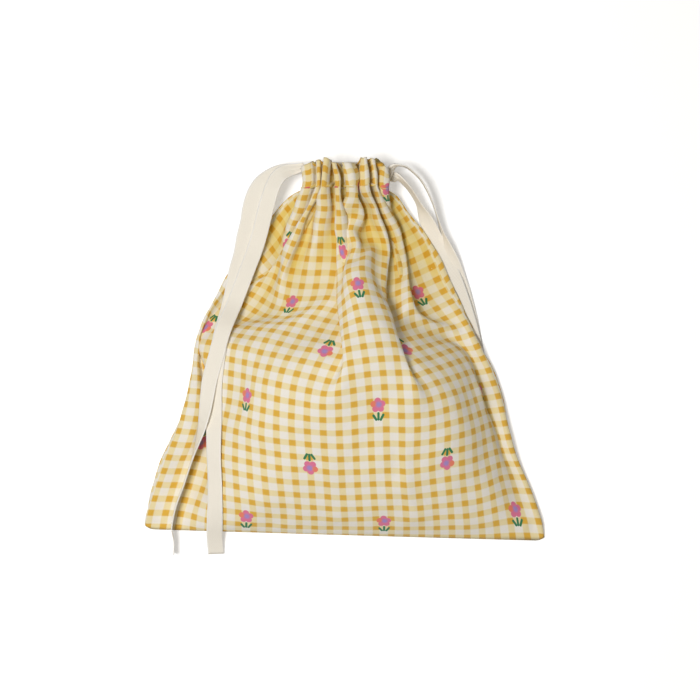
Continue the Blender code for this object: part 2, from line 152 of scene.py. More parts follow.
RIGHT_FRONT_TAIL = [
    (25.5, 107.0, 20.0, 0, 1, 0, 1.0),
    (28.5, 110.8, 19.9, -0.2, 0.75, 0.5, 0.9),
    (32.0, 113.5, 18.5, 0, 0, 1, 0.5),
    (37.0, 113.2, 17.5, 0, 0, 1, 0.1),
    (42.0, 110.0, 16.0, 0, 0, 1, 0),
    (47.0, 105.0, 14.5, 0, 0, 1, 0),
    (51.0, 98.5, 12.5, 0, 0, 1, 0),
    (54.5, 91.0, 10.0, 0, 0, 1, 0),
    (57.5, 82.5, 7.5, 0, 0, 1, 0),
    (60.5, 73.5, 5.5, 0.15, 0, 1, 0),
    (64.0, 63.0, 4.2, 0.6, 0.1, 0.7, 0),
    (68.5, 51.0, 2.0, 0.9, 0.2, 0.25, 0),
    (71.0, 44.0, 1.1, 0.97, 0.25, 0.1, 0),
    (74.0, 35.0, 0.8, 1, 0.3, 0, 0),
    (78.0, 19.0, 0.8, 1, 0.2, 0, 0),
    (81.5, 0.0, 0.8, 1, 0.15, 0, 0),
    (84.5, -18.0, 0.8, 1, 0.05, 0, 0),
    (87.0, -36.0, 0.8, 1, 0.1, 0, 0),
    (91.0, -54.0, 0.8, 1, 0.3, 0, 0),
    (97.5, -72.0, 0.8, 1, 0.4, 0, 0),
    (104.0, -90.0, 0.8, 1, 0.3, 0, 0),
    (108.5, -106.0, 0.8, 1, 0.25, 0, 0),
]
RIGHT_BACK_TAIL = [
    (25.5, 107.0, 15.0, 0, 1, 0, 1.0),
    (29.5, 107.0, 15.8, 0, 0.95, 0.05, 0.9),
    (34.0, 105.5, 15.6, 0.1, 0.3, 1, 0.4),
    (38.5, 101.5, 13.0, 0.15, 0.1, 1, 0.1),
    (42.5, 96.5, 9.5, 0.2, 0, 1, 0),
    (46.5, 90.0, 7.0, 0.3, 0, 0.9, 0),
    (50.5, 81.5, 4.8, 0.7, 0.1, 0.5, 0),
    (55.0, 71.5, 3.0, 0.9, 0.2, 0.15, 0),
    (60.5, 60.0, 2.4, 0.95, 0.3, 0.05, 0),
    (66.5, 48.5, 2.3, 0.95, 0.35, 0, 0),
    (72.0, 34.0, 2.1, 1, 0.3, 0, 0),
    (77.0, 18.0, 2.1, 1, 0.25, 0, 0),
    (81.5, 0.0, 2.1, 1, 0.25, 0, 0),
    (86.5, -18.0, 2.1, 1, 0.25, 0, 0),
    (91.0, -36.0, 2.1, 1, 0.2, 0, 0),
    (95.0, -54.0, 2.1, 1, 0.15, 0, 0),
    (99.5, -72.0, 2.1, 1, 0.2, 0, 0),
    (104.0, -88.0, 2.0, 1, 0.25, 0, 0),
]
for route in (LEFT_FRONT_TAIL, LEFT_BACK_TAIL, RIGHT_FRONT_TAIL, RIGHT_BACK_TAIL):
    print(len(route), "points, from", route[0][:3], "to", route[-1][:3])

# %% [markdown]
# ## The cloth as it is cut
#
# A bag's shape can be modelled by hand as a lofted shell, but then the folds are a guess and
# the print stretches over them. This one starts from its flat cut instead: a grid of points
# that keep their distances, as threads do, is drawn in at the neck, filled, and left to find
# its own folds. The same grid later carries the print, so every check keeps its size.

# %% Sizes of the cut and of the filled pouch, in millimetres
PANEL_WIDTH = 250.0  # between the side seams
PANEL_HEIGHT = 260.0  # from the bottom fold to the top fold
CASING = 17.0  # the tunnel that is turned in at the top
PLAN_HEIGHT = 234.0  # how long it lies once it is filled and gathered
BOTTOM_SLOPE = 7.5  # how much lower the bottom fold's right end lies than its left end
BODY_DEPTH = 54.0
NECK_HALF = 29.0  # half the width of the gathered neck

# Level as a share of the height, and how far each side has come in towards the neck there
SIDE_LEVELS = [0, 0.04, 0.14, 0.22, 0.30, 0.37, 0.45, 0.52, 0.60, 0.70, 0.80, 0.87, 0.92, 1]
LEFT_SIDE = [0.015, 0.005, 0.06, 0.12, 0.22, 0.27, 0.31, 0.32, 0.40, 0.54, 0.73, 0.85, 0.95, 1]
RIGHT_SIDE = [0.02, 0.005, 0.10, 0.19, 0.235, 0.26, 0.33, 0.43, 0.51, 0.625, 0.76, 0.91, 0.99, 1]

# Level, the seam's height and the front's rise over it, as shares of the body's depth
DEPTH_LEVELS = [0, 0.02, 0.06, 0.14, 0.26, 0.40, 0.55, 0.70, 0.84, 0.93, 1]
SEAM_HEIGHT = [0.028, 0.08, 0.13, 0.18, 0.23, 0.27, 0.29, 0.31, 0.325, 0.333, 0.333]
FRONT_RISE = [0.028, 0.13, 0.29, 0.50, 0.67, 0.73, 0.68, 0.55, 0.42, 0.335, 0.333]


def ease(low, high, value):
    """0 below low, 1 above high, and a smooth S between: t * t * (3 - 2 t)."""
    t = np.clip((value - low) / (high - low), 0, 1)
    return t * t * (3 - 2 * t)


def half_widths(level):
    """Left and right edge of the pouch at a level: half a panel, drawn in towards the neck."""
    drawn_in = NECK_HALF - PANEL_WIDTH / 2
    left = PANEL_WIDTH / 2 + drawn_in * np.interp(level, SIDE_LEVELS, LEFT_SIDE)
    right = PANEL_WIDTH / 2 + drawn_in * np.interp(level, SIDE_LEVELS, RIGHT_SIDE)
    return left, right


print("flat panel", PANEL_WIDTH, "x", PANEL_HEIGHT, "mm; lies", PLAN_HEIGHT, "mm long when gathered")

# %% [markdown]
# ## The gathered mouth
#
# 500 mm of cloth go round a neck of barely 60 mm. A ribbon gathers cloth in curled pleats:
# each stands out from the ribbon, and its crest is wider than its foot, like the letter
# omega. A plain sine wave would give pointed flutes, which real gathers don't have.

# %% A ring of curled pleats round the ribbons' oval
NECK_ACROSS = -0.5  # the oval's centre
NECK_UP = 20.0
OVAL_HALF_WIDTH = 15.0
OVAL_HALF_DEPTH = 7.5
FRONT_PLEATS = [17, 8, 12, 8, 17, 12, 9, 13]  # their widths, left to right
BACK_PLEATS = [12, 11, 14, 10, 13, 11, 12, 12]
PLEAT_RISE = 13.0
PLEAT_CURL = 0.12
TALL_POWER = 0.6  # a broad pleat stands higher than a narrow one, by this power of its width
TALL_RANGE = (0.72, 1.15)
END_REACH, FLANK_REACH = 0.86, 0.14  # pleats at the oval's two ends stand out less
OVAL_POINTS = 2001


def pleat_places(share):
    """Share round the oval and rise out of it, for shares of the way round the pleats.

    Inside a pleat at t from 0 to 1 the cloth has gone t + CURL * sin(4 pi t) of its width
    along, and stands RISE * (1 - cos(2 pi t)) / 2 out. The front's pleats come first."""
    along = np.zeros_like(share)
    out = np.zeros_like(share)
    for half, pleats in enumerate((FRONT_PLEATS, BACK_PLEATS)):
        width = np.array(pleats, float)
        edge = 0.5 * half + 0.5 * np.concatenate([[0], np.cumsum(width)]) / width.sum()
        here = (share >= 0.5) == bool(half)
        place = np.clip((share - 0.5 * half) * 2 * len(width), 0, len(width) - TINY)
        pleat = place.astype(int)
        t = place - pleat
        span = edge[pleat + 1] - edge[pleat]
        tall = np.clip(width[pleat] / width.mean(), *TALL_RANGE) ** TALL_POWER
        along = np.where(here, edge[pleat] + span * (t + PLEAT_CURL * np.sin(4 * np.pi * t)), along)
        out = np.where(here, PLEAT_RISE * tall * (0.5 - 0.5 * np.cos(2 * np.pi * t)), out)
    return along, out


def on_oval(along, out, shrink=0.0):
    """Points along the neck's oval, from the left seam over the front, and out of it.

    The oval is (a cos, b sin) of the angle, and out is measured along its normal."""
    angle = np.pi - 2 * np.pi * along
    half_width = OVAL_HALF_WIDTH - shrink
    half_depth = OVAL_HALF_DEPTH - shrink
    normal = np.array([np.cos(angle) / half_width, np.sin(angle) / half_depth])
    normal /= np.hypot(*normal)
    reach = out * (END_REACH + FLANK_REACH * np.abs(np.sin(angle)))
    x = NECK_ACROSS + half_width * np.cos(angle) + reach * normal[0]
    z = NECK_UP + half_depth * np.sin(angle) + reach * normal[1]
    return x, z


def even_shares(columns):
    """Shares round the pleats at which the columns of each panel are evenly spaced."""
    fine = np.linspace(0, 1, OVAL_POINTS)
    x, z = on_oval(*pleat_places(fine))
    run = np.concatenate([[0], np.cumsum(np.hypot(np.diff(x), np.diff(z)))])
    middle = run[OVAL_POINTS // 2]
    back_share = 0.5 + 0.5 * (run - middle) / (run[-1] - middle)
    panel = np.where(fine <= 0.5, 0.5 * run / middle, back_share)
    return np.interp(np.arange(columns) / columns, panel, fine), run[-1]


print("cloth round the pleated ring:", round(even_shares(100)[1]), "mm")

# %% [markdown]
# ## A first shape
#
# Relaxing starts from a rough form: a flattened tube that closes at the bottom fold and
# turns into the ring of pleats at the neck. The top edge isn't level on a real pouch, so the
# pleats are pushed up and down a little.

# %% The starting grid
TOP_EDGE_ACROSS = [-28, -14, -6, 0, 5, 10, 17, 23, 28]
TOP_EDGE_RISE = [-0.5, 0.5, -0.5, -1.5, -2.5, 1.5, 2.0, -1.0, -1.5]
TOP_EDGE_FROM = 0.9
ARC_POINTS = 401
FRONT_POWER = 1.3  # over 1, the front is steeper at its seams' sides than an ellipse
MARGIN_FROM, MARGIN_SPAN = 0.55, 0.45  # the back's margins lift from the base towards the seams
BASE = 0.8
GATHER_FROM = 0.62
GATHER_POWER = 2.2
COARSE_GRID = (100, 44)  # columns round the pouch and rows up it
FINE_GRID = (200, 88)


def way_along(x, z):
    """Each point's share of the way along a curve, for reading it at even steps."""
    run = np.concatenate([[0], np.cumsum(np.hypot(np.diff(x), np.diff(z)))])
    return run / run[-1]


def first_row(level, shares, pleats):
    """One level of the start: half an ellipse over the front, a flat base under the back.

    Above GATHER_FROM it goes over to the ring of pleats, by a power of the way up."""
    neck_x, neck_z = pleats
    left, right = half_widths(level)
    seam = BODY_DEPTH * np.interp(level, DEPTH_LEVELS, SEAM_HEIGHT)
    rise = BODY_DEPTH * np.interp(level, DEPTH_LEVELS, FRONT_RISE)
    over = np.linspace(np.pi, 0, ARC_POINTS)
    under = -over[::-1]
    front_x = np.where(over > np.pi / 2, left, right) * np.cos(over)
    front_z = seam + rise * np.sin(over) ** FRONT_POWER
    back_x = np.where(under < -np.pi / 2, left, right) * np.cos(under)
    margin = np.clip((np.abs(np.cos(under)) - MARGIN_FROM) / MARGIN_SPAN, 0, 1) ** 2
    back_z = seam - (seam - BASE) * (1 - margin)
    front = way_along(front_x, front_z)
    back = way_along(back_x, back_z)
    ahead = [np.interp(2 * shares, front, part) for part in (front_x, front_z)]
    behind = [np.interp(2 * shares - 1, back, part) for part in (back_x, back_z)]
    x, z = np.where(shares <= 0.5, ahead, behind)
    casing_from = 1 - CASING / PANEL_HEIGHT
    gathered = np.clip((level - GATHER_FROM) / (casing_from - GATHER_FROM), 0, 1) ** GATHER_POWER
    x = x + (neck_x - x) * gathered
    z = z + (neck_z - z) * gathered
    y = (level - 0.5) * PLAN_HEIGHT + BOTTOM_SLOPE / 4 - BOTTOM_SLOPE * (x / PANEL_WIDTH) * (1 - level) ** 2
    y = y + np.interp(x, TOP_EDGE_ACROSS, TOP_EDGE_RISE) * ease(TOP_EDGE_FROM, 1.0, level)
    return np.column_stack([x, y, z])


def first_shape(columns, rows):
    """The starting grid: rows up the pouch, columns round it from the left seam."""
    pleats = on_oval(*pleat_places(even_shares(columns)[0]))
    shares = np.arange(columns) / columns
    return np.array([first_row(level, shares, pleats) for level in np.linspace(0, 1, rows)])


first_across = first_shape(*COARSE_GRID)[:, :, 0]
widths = [round(np.ptp(first_across[row])) for row in (0, -1)]
print("the start is", widths[0], "mm wide at the bottom fold and", widths[1], "mm at the neck")

# %% [markdown]
# ## What cloth does
#
# Position-based cloth is short enough to write out: each step moves every point on by its
# speed and by the forces, then puts neighbours back to their distance. Blender's own cloth
# could do it too, but here the fill, the side seams and the creases have to act together.
# Points are treated in sets that share no neighbour, so each set is one array operation.

# %% A grid of threads
APART_SHARE = 0.25
FOLD_ROWS = 3  # front and back meet at the bottom fold, so these rows may touch


class Cloth:
    """A tube of cloth: rows up the pouch, columns round it, points in millimetres."""

    def __init__(self, points):
        self.points = points.copy()
        self.before = points.copy()
        self.rows, self.columns = points.shape[:2]
        self.across = 2 * PANEL_WIDTH / self.columns
        self.along = PANEL_HEIGHT / (self.rows - 1)
        self.pairs = None

    def draw(self, first, second, rest, share, only_push=False):
        """Moves each pair a share of the way to its rest distance, half by each point."""
        step = self.points[second] - self.points[first]
        size = np.sqrt(np.einsum("...i,...i->...", step, step))[..., None] + TINY
        change = share * (size - rest) / (2 * size)
        if only_push:
            change = np.minimum(change, 0)
        step *= change
        self.points[first] += step
        self.points[second] -= step

    def threads_across(self, reach, share, only_push=False):
        """Keeps points that are reach columns apart at their distance."""
        for start in range(2 * reach):
            first = np.arange(start, self.columns, 2 * reach)
            second = (first + reach) % self.columns
            rest = reach * self.across
            self.draw(np.s_[:, first], np.s_[:, second], rest, share, only_push)

    def threads_along(self, reach, share, only_push=False):
        """Keeps points that are reach rows apart at their distance."""
        for start in range(2 * reach):
            first = np.arange(start, self.rows - reach, 2 * reach)
            self.draw(first, first + reach, reach * self.along, share, only_push)

    def hold_square(self, share):
        """Keeps both diagonals of each cell at their length, which resists shear."""
        rest = math.hypot(self.across, self.along)
        for row_start in (0, 1):
            low = np.arange(row_start, self.rows - 1, 2)
            for start in (0, 1):
                here = np.arange(start, self.columns, 2)
                beside = (here + 1) % self.columns
                self.draw(np.ix_(low, here), np.ix_(low + 1, beside), rest, share)
                self.draw(np.ix_(low, beside), np.ix_(low + 1, here), rest, share)

    def normals(self):
        """Outward normals: the way round crossed with the way up."""
        round_it = np.roll(self.points, -1, 1) - np.roll(self.points, 1, 1)
        normal = np.cross(round_it, np.gradient(self.points, axis=0))
        return normal / (np.linalg.norm(normal, axis=2, keepdims=True) + TINY)

    def find_near(self, reach, skip=2):
        """Pairs of points within reach that aren't neighbours in the cloth.

        Points are sorted by the cell of a cubic grid that they are in, and each looks at
        its own cell and at half of the cells round it, so no pair is found twice."""
        points = self.points.reshape(-1, 3)
        cell = np.floor((points - points.min(0)) / reach).astype(np.int64) + 1
        size = cell.max(0) + 2
        key = (cell[:, 0] * size[1] + cell[:, 1]) * size[2] + cell[:, 2]
        order = np.argsort(key, kind="stable")
        sorted_key = key[order]
        around = [(a, b, c) for a in (-1, 0, 1) for b in (-1, 0, 1) for c in (-1, 0, 1)]
        found = []
        for move in [m for m in around if m >= (0, 0, 0)]:
            wanted = key + (move[0] * size[1] + move[1]) * size[2] + move[2]
            low = np.searchsorted(sorted_key, wanted, "left")
            count = np.searchsorted(sorted_key, wanted, "right") - low
            one = np.repeat(np.arange(len(points)), count)
            start = np.repeat(low - np.concatenate([[0], np.cumsum(count)[:-1]]), count)
            other = order[start + np.arange(count.sum())]
            gap = points[one] - points[other]
            close = np.einsum("ij,ij->i", gap, gap) < reach * reach
            if move == (0, 0, 0):
                close &= one < other
            found.append(np.column_stack([one[close], other[close]]))
        one, other = np.concatenate(found).T
        row_gap = np.abs(one // self.columns - other // self.columns)
        column_gap = np.abs(one % self.columns - other % self.columns)
        column_gap = np.minimum(column_gap, self.columns - column_gap)
        neighbours = (row_gap <= skip) & (column_gap <= skip)
        at_fold = one // self.columns + other // self.columns <= FOLD_ROWS
        keep = ~(neighbours | at_fold)
        self.pairs = one[keep], other[keep]

    def keep_apart(self, gap):
        """Pushes the near pairs apart to the gap, so folds don't pass through each other."""
        one, other = self.pairs
        points = self.points.reshape(-1, 3)
        way = points[one] - points[other]
        size = np.sqrt(np.einsum("ij,ij->i", way, way)) + TINY
        close = size < gap
        one, other, way, size = one[close], other[close], way[close], size[close]
        push = (APART_SHARE * (gap - size) / size)[:, None] * way
        total = len(points)
        hits = np.bincount(one, minlength=total) + np.bincount(other, minlength=total)
        moved = [
            np.bincount(one, push[:, k], total) - np.bincount(other, push[:, k], total)
            for k in range(3)
        ]
        points += np.column_stack(moved) / np.sqrt(np.maximum(hits, 1))[:, None]


sample = Cloth(first_shape(*COARSE_GRID))
print("coarse threads:", round(sample.across, 2), "mm apart across,", round(sample.along, 2), "mm along")

# %% [markdown]
# ## What acts on it
#
# Four things shape the pouch. What is inside holds the front up as a soft dome. The side
# seams keep the outline. A few long creases run from the gathers to the shoulder, which a
# light pull sharpens. And the flowers of the print tell where the cloth lies: each guide
# says that a place on the flat panel has come to rest at a place on the finished pouch.

# %% The fill, the creases and the guides
FILL_LEVELS = [0, 0.02, 0.05, 0.10, 0.16, 0.25, 0.35, 0.43, 0.48, 0.52, 0.56, 0.61, 0.68, 0.76, 0.84, 0.92]
FILL_HEIGHT = [2, 10, 18, 27, 34, 42, 48, 50, 48, 42, 33, 24, 18, 16, 16, 17]
FILL_LEFT = [104, 104, 101, 94, 85, 77, 73, 73, 74, 75, 72, 64, 52, 38, 27, 18]
FILL_RIGHT = [115, 115, 113, 108, 101, 95, 90, 87, 85, 81, 75, 66, 53, 38, 25, 16]
FILL_END = 0.92
SHOULDER_MIDDLE = 5.0
SHOULDER_BOW = 0.0045  # per mm: the shoulder's edge bows down to both sides
BOW_MOST = 0.2
BOW_LEVELS = (0.2, 0.5)  # the bow starts at the first level and is full at the second,
UNBOWED_LEVELS = (0.6, 0.85)  # and it goes away again between these

# Level, the dome's power across and the power of its edge
DOME_LEVELS = [0, 0.3, 0.5, 0.6, 1]
DOME_ROUNDNESS = [3.0, 3.8, 3.2, 2.2, 2.0]
DOME_EDGE = [0.75, 0.6, 0.65, 0.8, 0.8]

# Strength, half-breadth, and the points that a crease runs through on the plan
RIDGES = [
    (1.0, 4.0, [(-16, 108), (-21, 98), (-24, 82), (-32, 63)]),
    (1.3, 5.0, [(3, 108), (4, 82), (7, 61), (12, 37), (16, 12), (22, -15)]),
    (0.9, 4.0, [(18, 108), (24, 94), (31, 78), (36, 55), (36, 31), (37, 3)]),
    (0.5, 4.0, [(27, 101), (33, 88), (40, 76), (49, 60)]),
    (0.5, 5.0, [(-9, 94), (-14, 70), (-27, 31), (-38, 3)]),
]
VALLEYS = [
    (1.2, 5.0, [(-7, 101), (-15, 68), (-24, 48), (-36, 18)]),
    (1.0, 4.5, [(-3, 98), (-4, 76), (-1, 54), (3, 31)]),
    (0.9, 5.0, [(12, 101), (20, 82), (24, 58), (26, 31), (29, 3)]),
    (0.9, 5.0, [(24, 99), (35, 78), (43, 55), (44, 31), (46, 6)]),
    (0.4, 6.0, [(-27, 94), (-33, 82), (-46, 61)]),
]

# Place on the flat front panel from its lower left corner, and place on the plan
GUIDES = [
    (65, 16, -58, -99), (149, 16, 24, -103), (232, 16, 99, -92),
    (23, 54, -89, -56), (107, 54, -20, -69), (191, 54, 60, -66),
    (65, 92, -58, -27), (149, 92, 20, -31), (232, 92, 82, -23),
    (23, 129, -85, 14), (107, 129, -10, -1), (191, 129, 36, 0),
    (65, 167, -33, 29), (149, 167, 8, 39), (232, 167, 44, 35),
    (23, 205, -37, 65), (107, 205, -1, 60), (191, 205, 26, 68),
]
GUIDE_REACH = 11.0
LEAST_WEIGHT = 0.05


def fill_height(x, y):
    """Height of what is inside: (1 - |across|^p)^e of the level's own height.

    Levels near the shoulder are read further up by bow * x^2, so its edge is an arc."""
    level = y / PLAN_HEIGHT + 0.5
    bow = SHOULDER_BOW * (x - SHOULDER_MIDDLE) ** 2 / PLAN_HEIGHT
    bow = np.minimum(bow, BOW_MOST) * ease(*BOW_LEVELS, level)
    level = level + bow * (1 - ease(*UNBOWED_LEVELS, level))
    tall = np.interp(level, FILL_LEVELS, FILL_HEIGHT)
    left = -np.interp(level, FILL_LEVELS, FILL_LEFT)
    right = np.interp(level, FILL_LEVELS, FILL_RIGHT)
    across = np.abs((x - (left + right) / 2) / ((right - left) / 2))
    roundness = np.interp(level, DOME_LEVELS, DOME_ROUNDNESS)
    edge = np.interp(level, DOME_LEVELS, DOME_EDGE)
    dome = np.clip(1 - across**roundness, 0, 1) ** edge
    return np.where(level < FILL_END, tall * dome, 0)


def crease_pull(plan, creases):
    """Sum over the creases of strength * exp(-distance^2 / 2 breadth^2)."""
    total = np.zeros(len(plan))
    for strength, breadth, route in creases:
        route = np.array(route, float)
        nearest = np.full(len(plan), np.inf)
        for start, end in zip(route[:-1], route[1:]):
            span = end - start
            t = np.clip((plan - start) @ span / (span @ span), 0, 1)
            off = plan - start - t[:, None] * span
            nearest = np.minimum(nearest, (off * off).sum(1))
        total += strength * np.exp(-nearest / (2 * breadth**2))
    return total


def guide_patches(cloth):
    """For each guide, the points round its place on the panel, their weights and its goal."""
    patches = []
    across = np.arange(cloth.columns) * cloth.across
    along = np.arange(cloth.rows) * cloth.along
    for place_across, place_up, x, y in GUIDES:
        far = (across[None, :] - place_across) ** 2 + (along[:, None] - place_up) ** 2
        weight = np.exp(-far / (2 * GUIDE_REACH**2))
        weight[:, cloth.columns // 2 + 1 :] = 0
        weight[weight < LEAST_WEIGHT] = 0
        rows, columns = np.nonzero(weight)
        patches.append((rows, columns, weight[rows, columns], np.array([x, y], float)))
    return patches


belly = fill_height(np.array([5.0]), np.array([-20.0]))
print("the fill is", belly.round(1), "mm high in the belly's middle")
print("points that each guide holds:", [len(patch[0]) for patch in guide_patches(sample)])

# %% [markdown]
# ## Letting it settle
#
# One step: speed and forces, guides, threads, seams, neighbours, floor, fill. The neck's
# pleats are held softly, so they can still lean on each other, and only the bottom fold is
# fixed. A coarse grid finds the big folds, and a grid twice as fine, started from it, finds
# the small ones. Both always give the same result, because the first jitter has a seed.

# %% One run of steps
GRAVITY = 0.02
PRESSURE = 0.02
PRESSED_LEVELS = (0, 0.12)
UPPER_SLACK = 0.75  # the pressure falls by this share towards the gathers,
SLACK_LEVELS = (0.45, 0.62)  # between these levels
TOP_SPEED = 1.0  # mm a step
SHEAR = 0.15
BEND = 0.35
SEAM_PULL = 0.05
NECK_PULL = 0.3
SIDE_PUSH = 0.3
FILL_PUSH = 0.6
FLOOR = 0.6
FLOOR_GRIP = 0.5
CREASE_EVERY = 20  # steps between two looks at where the creases are
PAIRS_EVERY = 25  # steps between two searches for near points
PAIR_MARGIN = 0.8
SEAM_LEVELS = np.array(SIDE_LEVELS)


def hold_outline(cloth, neck, bottom):
    """Keeps the bottom fold, draws the pleats to their ring and the seams to the sides."""
    points = cloth.points
    points[0] = bottom
    start = cloth.rows - len(neck)
    points[start:] += NECK_PULL * (neck - points[start:])
    left, right = half_widths(SEAM_LEVELS)
    heights = (SEAM_LEVELS - 0.5) * PLAN_HEIGHT + BOTTOM_SLOPE / 4
    low = np.interp(points[1:, :, 1], heights, -left)
    high = np.interp(points[1:, :, 1], heights, right)
    across = points[1:, :, 0]
    across += SIDE_PUSH * (np.maximum(low - across, 0) - np.maximum(across - high, 0))
    middle = cloth.columns // 2
    across[:, 0] += SEAM_PULL * (low[:, 0] - across[:, 0])
    across[:, middle] += SEAM_PULL * (high[:, middle] - across[:, middle])


def settle(cloth, steps, neck, bottom, gap, crease, lead, damping):
    """Runs the steps. crease and lead are the pulls of the creases and of the guides."""
    middle = cloth.columns // 2
    level = np.linspace(0, 1, cloth.rows)[:, None, None]
    pressure = PRESSURE * ease(*PRESSED_LEVELS, level)
    pressure = pressure * (1 - UPPER_SLACK * ease(*SLACK_LEVELS, level))
    patches = guide_patches(cloth)
    push = np.zeros((cloth.rows, cloth.columns))
    for step in range(steps):
        speed = (cloth.points - cloth.before) * damping
        size = np.linalg.norm(speed, axis=2, keepdims=True)
        speed *= np.minimum(1, TOP_SPEED / (size + TINY))
        cloth.before = cloth.points.copy()
        if crease and step % CREASE_EVERY == 0:
            plan = cloth.points[:, 1:middle, :2].reshape(-1, 2)
            pull = crease_pull(plan, RIDGES) - crease_pull(plan, VALLEYS)
            push[:, 1:middle] = crease * pull.reshape(cloth.rows, -1)
        force = cloth.normals() * pressure
        force[..., 2] += push - GRAVITY
        cloth.points += speed + force
        for rows, columns, weight, goal in patches:
            mean = weight @ cloth.points[rows, columns, :2] / weight.sum()
            cloth.points[rows, columns, :2] += lead * weight[:, None] * (goal - mean)
        cloth.threads_across(1, 1)
        cloth.threads_along(1, 1)
        cloth.hold_square(SHEAR)
        cloth.threads_across(2, BEND, only_push=True)
        cloth.threads_along(2, BEND, only_push=True)
        hold_outline(cloth, neck, bottom)
        if step % PAIRS_EVERY == 0:
            cloth.find_near(gap + PAIR_MARGIN)
        cloth.keep_apart(gap)
        low = cloth.points[..., 2] < FLOOR
        cloth.points[low, 2] = FLOOR
        cloth.before[low, :2] += FLOOR_GRIP * (cloth.points[low, :2] - cloth.before[low, :2])
        over = cloth.points[1:, 1:middle]
        missing = fill_height(over[..., 0], over[..., 1]) - over[..., 2]
        over[..., 2] += np.clip(missing, 0, FILL_PUSH)


print("the neck is held over", CASING, "mm, the seams are pulled by", SEAM_PULL, "of their way a step")

# %% [markdown]
# ## From a coarse cloth to a fine one
#
# The coarse cloth is read at twice as many places by smooth curves through its points. At the
# end a few rounds of smoothing take out what is smaller than a fold.

# %% Reading a grid between its points
def smooth_between(a, b, c, d, t):
    """The curve through b and c that passes on smoothly to a and d, at t from 0 to 1."""
    return b + 0.5 * t * (c - a + t * (2 * a - 5 * b + 4 * c - d + t * (3 * (b - c) + d - a)))


def read_grid(points, at_row, at_column):
    """The grid's points at rows and columns that may lie between its own; columns go round."""
    rows, columns = points.shape[:2]
    k = np.floor(at_column).astype(int)
    near = [points[:, (k + shift) % columns] for shift in (-1, 0, 1, 2)]
    wide = smooth_between(*near, (at_column - k)[None, :, None])
    wide = np.concatenate([2 * wide[:1] - wide[1:2], wide, 2 * wide[-1:] - wide[-2:-1]])
    k = np.clip(np.floor(at_row + TINY).astype(int), 0, rows - 2)
    near = [wide[k + shift] for shift in (0, 1, 2, 3)]
    return smooth_between(*near, (at_row - k)[:, None, None])


half_way = smooth_between(0.0, 0.0, 1.0, 1.0, 0.5)
print("half way up a step the smooth curve is at", half_way)

# %% Coarse first, then fine
SOFT_PLACE = (-42.0, 22.0)  # the left shoulder, where the cloth lies without a wrinkle
SOFT_REACH = (34.0, 17.0)
FOLD_LEVELS = (0, 0.03)  # smoothing starts gradually above the bottom fold
CASING_KEPT = 0.6  # the casing's pleats are smoothed by this share less
CASING_LEVELS = (0.9, 0.94)
COARSE_STEPS = 900
FINE_STEPS = 500
LAST_STEPS = 100  # without the creases' pull, so that they round off
JITTER = 0.1  # mm, so that no two folds are alike
NECK_DROP = 1.5  # the gathers lie this much lower than the flat panel would reach


def smoothed(points, rounds, share, most):
    """Moves each point towards the mean of its four neighbours, less at the fold and casing.

    The share rises to most round SOFT_PLACE, by exp(-off^2), on the front."""
    points = points.copy()
    level = np.linspace(0, 1, len(points))[1:-1, None, None]
    off = (points[1:-1, :, :2] - SOFT_PLACE) / SOFT_REACH
    near = np.exp(-(off**2).sum(2, keepdims=True))
    near[:, points.shape[1] // 2 :] = 0
    share = (share + (most - share) * near) * ease(*FOLD_LEVELS, level)
    share = share * (1 - CASING_KEPT * ease(*CASING_LEVELS, level))
    for _ in range(rounds):
        round_it = (np.roll(points, 1, 1) + np.roll(points, -1, 1))[1:-1]
        up = points[2:] + points[:-2]
        points[1:-1] += share * ((round_it + up) / 4 - points[1:-1])
    return points


def held_rows(start, cloth):
    """The starting rows of the casing, which the pleats are drawn to."""
    first = cloth.rows - 1 - int(round(CASING / cloth.along))
    return start[first:] - np.array([0, NECK_DROP, 0])


def relaxed_pouch():
    """Rows x columns x 3: the settled cloth."""
    coarse_start = first_shape(*COARSE_GRID)
    jitter = np.random.default_rng(3).normal(0, JITTER, coarse_start.shape)
    coarse = Cloth(coarse_start + jitter)
    neck = held_rows(coarse_start, coarse)
    settle(
        coarse, COARSE_STEPS, neck, coarse_start[0], gap=3.2, crease=0.11, lead=0.05, damping=0.97
    )
    fine_start = first_shape(*FINE_GRID)
    at_rows = np.linspace(0, coarse.rows - 1, FINE_GRID[1])
    at_columns = np.arange(FINE_GRID[0]) * (COARSE_GRID[0] / FINE_GRID[0])
    fine = Cloth(read_grid(coarse.points, at_rows, at_columns))
    neck = held_rows(fine_start, fine)
    settle(fine, FINE_STEPS, neck, fine_start[0], gap=2.2, crease=0.11, lead=0.03, damping=0.97)
    settle(fine, LAST_STEPS, neck, fine_start[0], gap=2.2, crease=0.0, lead=0.02, damping=0.9)
    return smoothed(fine.points, rounds=27, share=0.1, most=0.7)


settled = relaxed_pouch()
lowest = settled.reshape(-1, 3).min(0).round(1)
highest = settled.reshape(-1, 3).max(0).round(1)
print("settled cloth from", lowest, "to", highest, "mm")

# %% [markdown]
# ## The pouch's surface
#
# The settled grid is read again on a finer one. Its rows go on past the top fold and down the
# inside of the neck, where the casing is turned in and sewn. Front and back share their points
# at the bottom fold and along the side seams, so the cloth is one surface, open only at the
# mouth and at the two slits beside the casing.

# %% Rows of the finer grid, and the two walls that they run up and down
PANEL_COLUMNS = 151
BODY_ROWS = 123
CASING_ROWS = 13
HEM = PANEL_HEIGHT - CASING
TURN_ROUND = 5.0  # the turned-in cloth leaves the outer wall over this stretch
INNER_SHRINK = 4.2
INNER_PLEAT = 0.25
NECK_SINK = 3.0  # the drawn ribbons pull the neck down by this much
SINK_FROM = 190.0

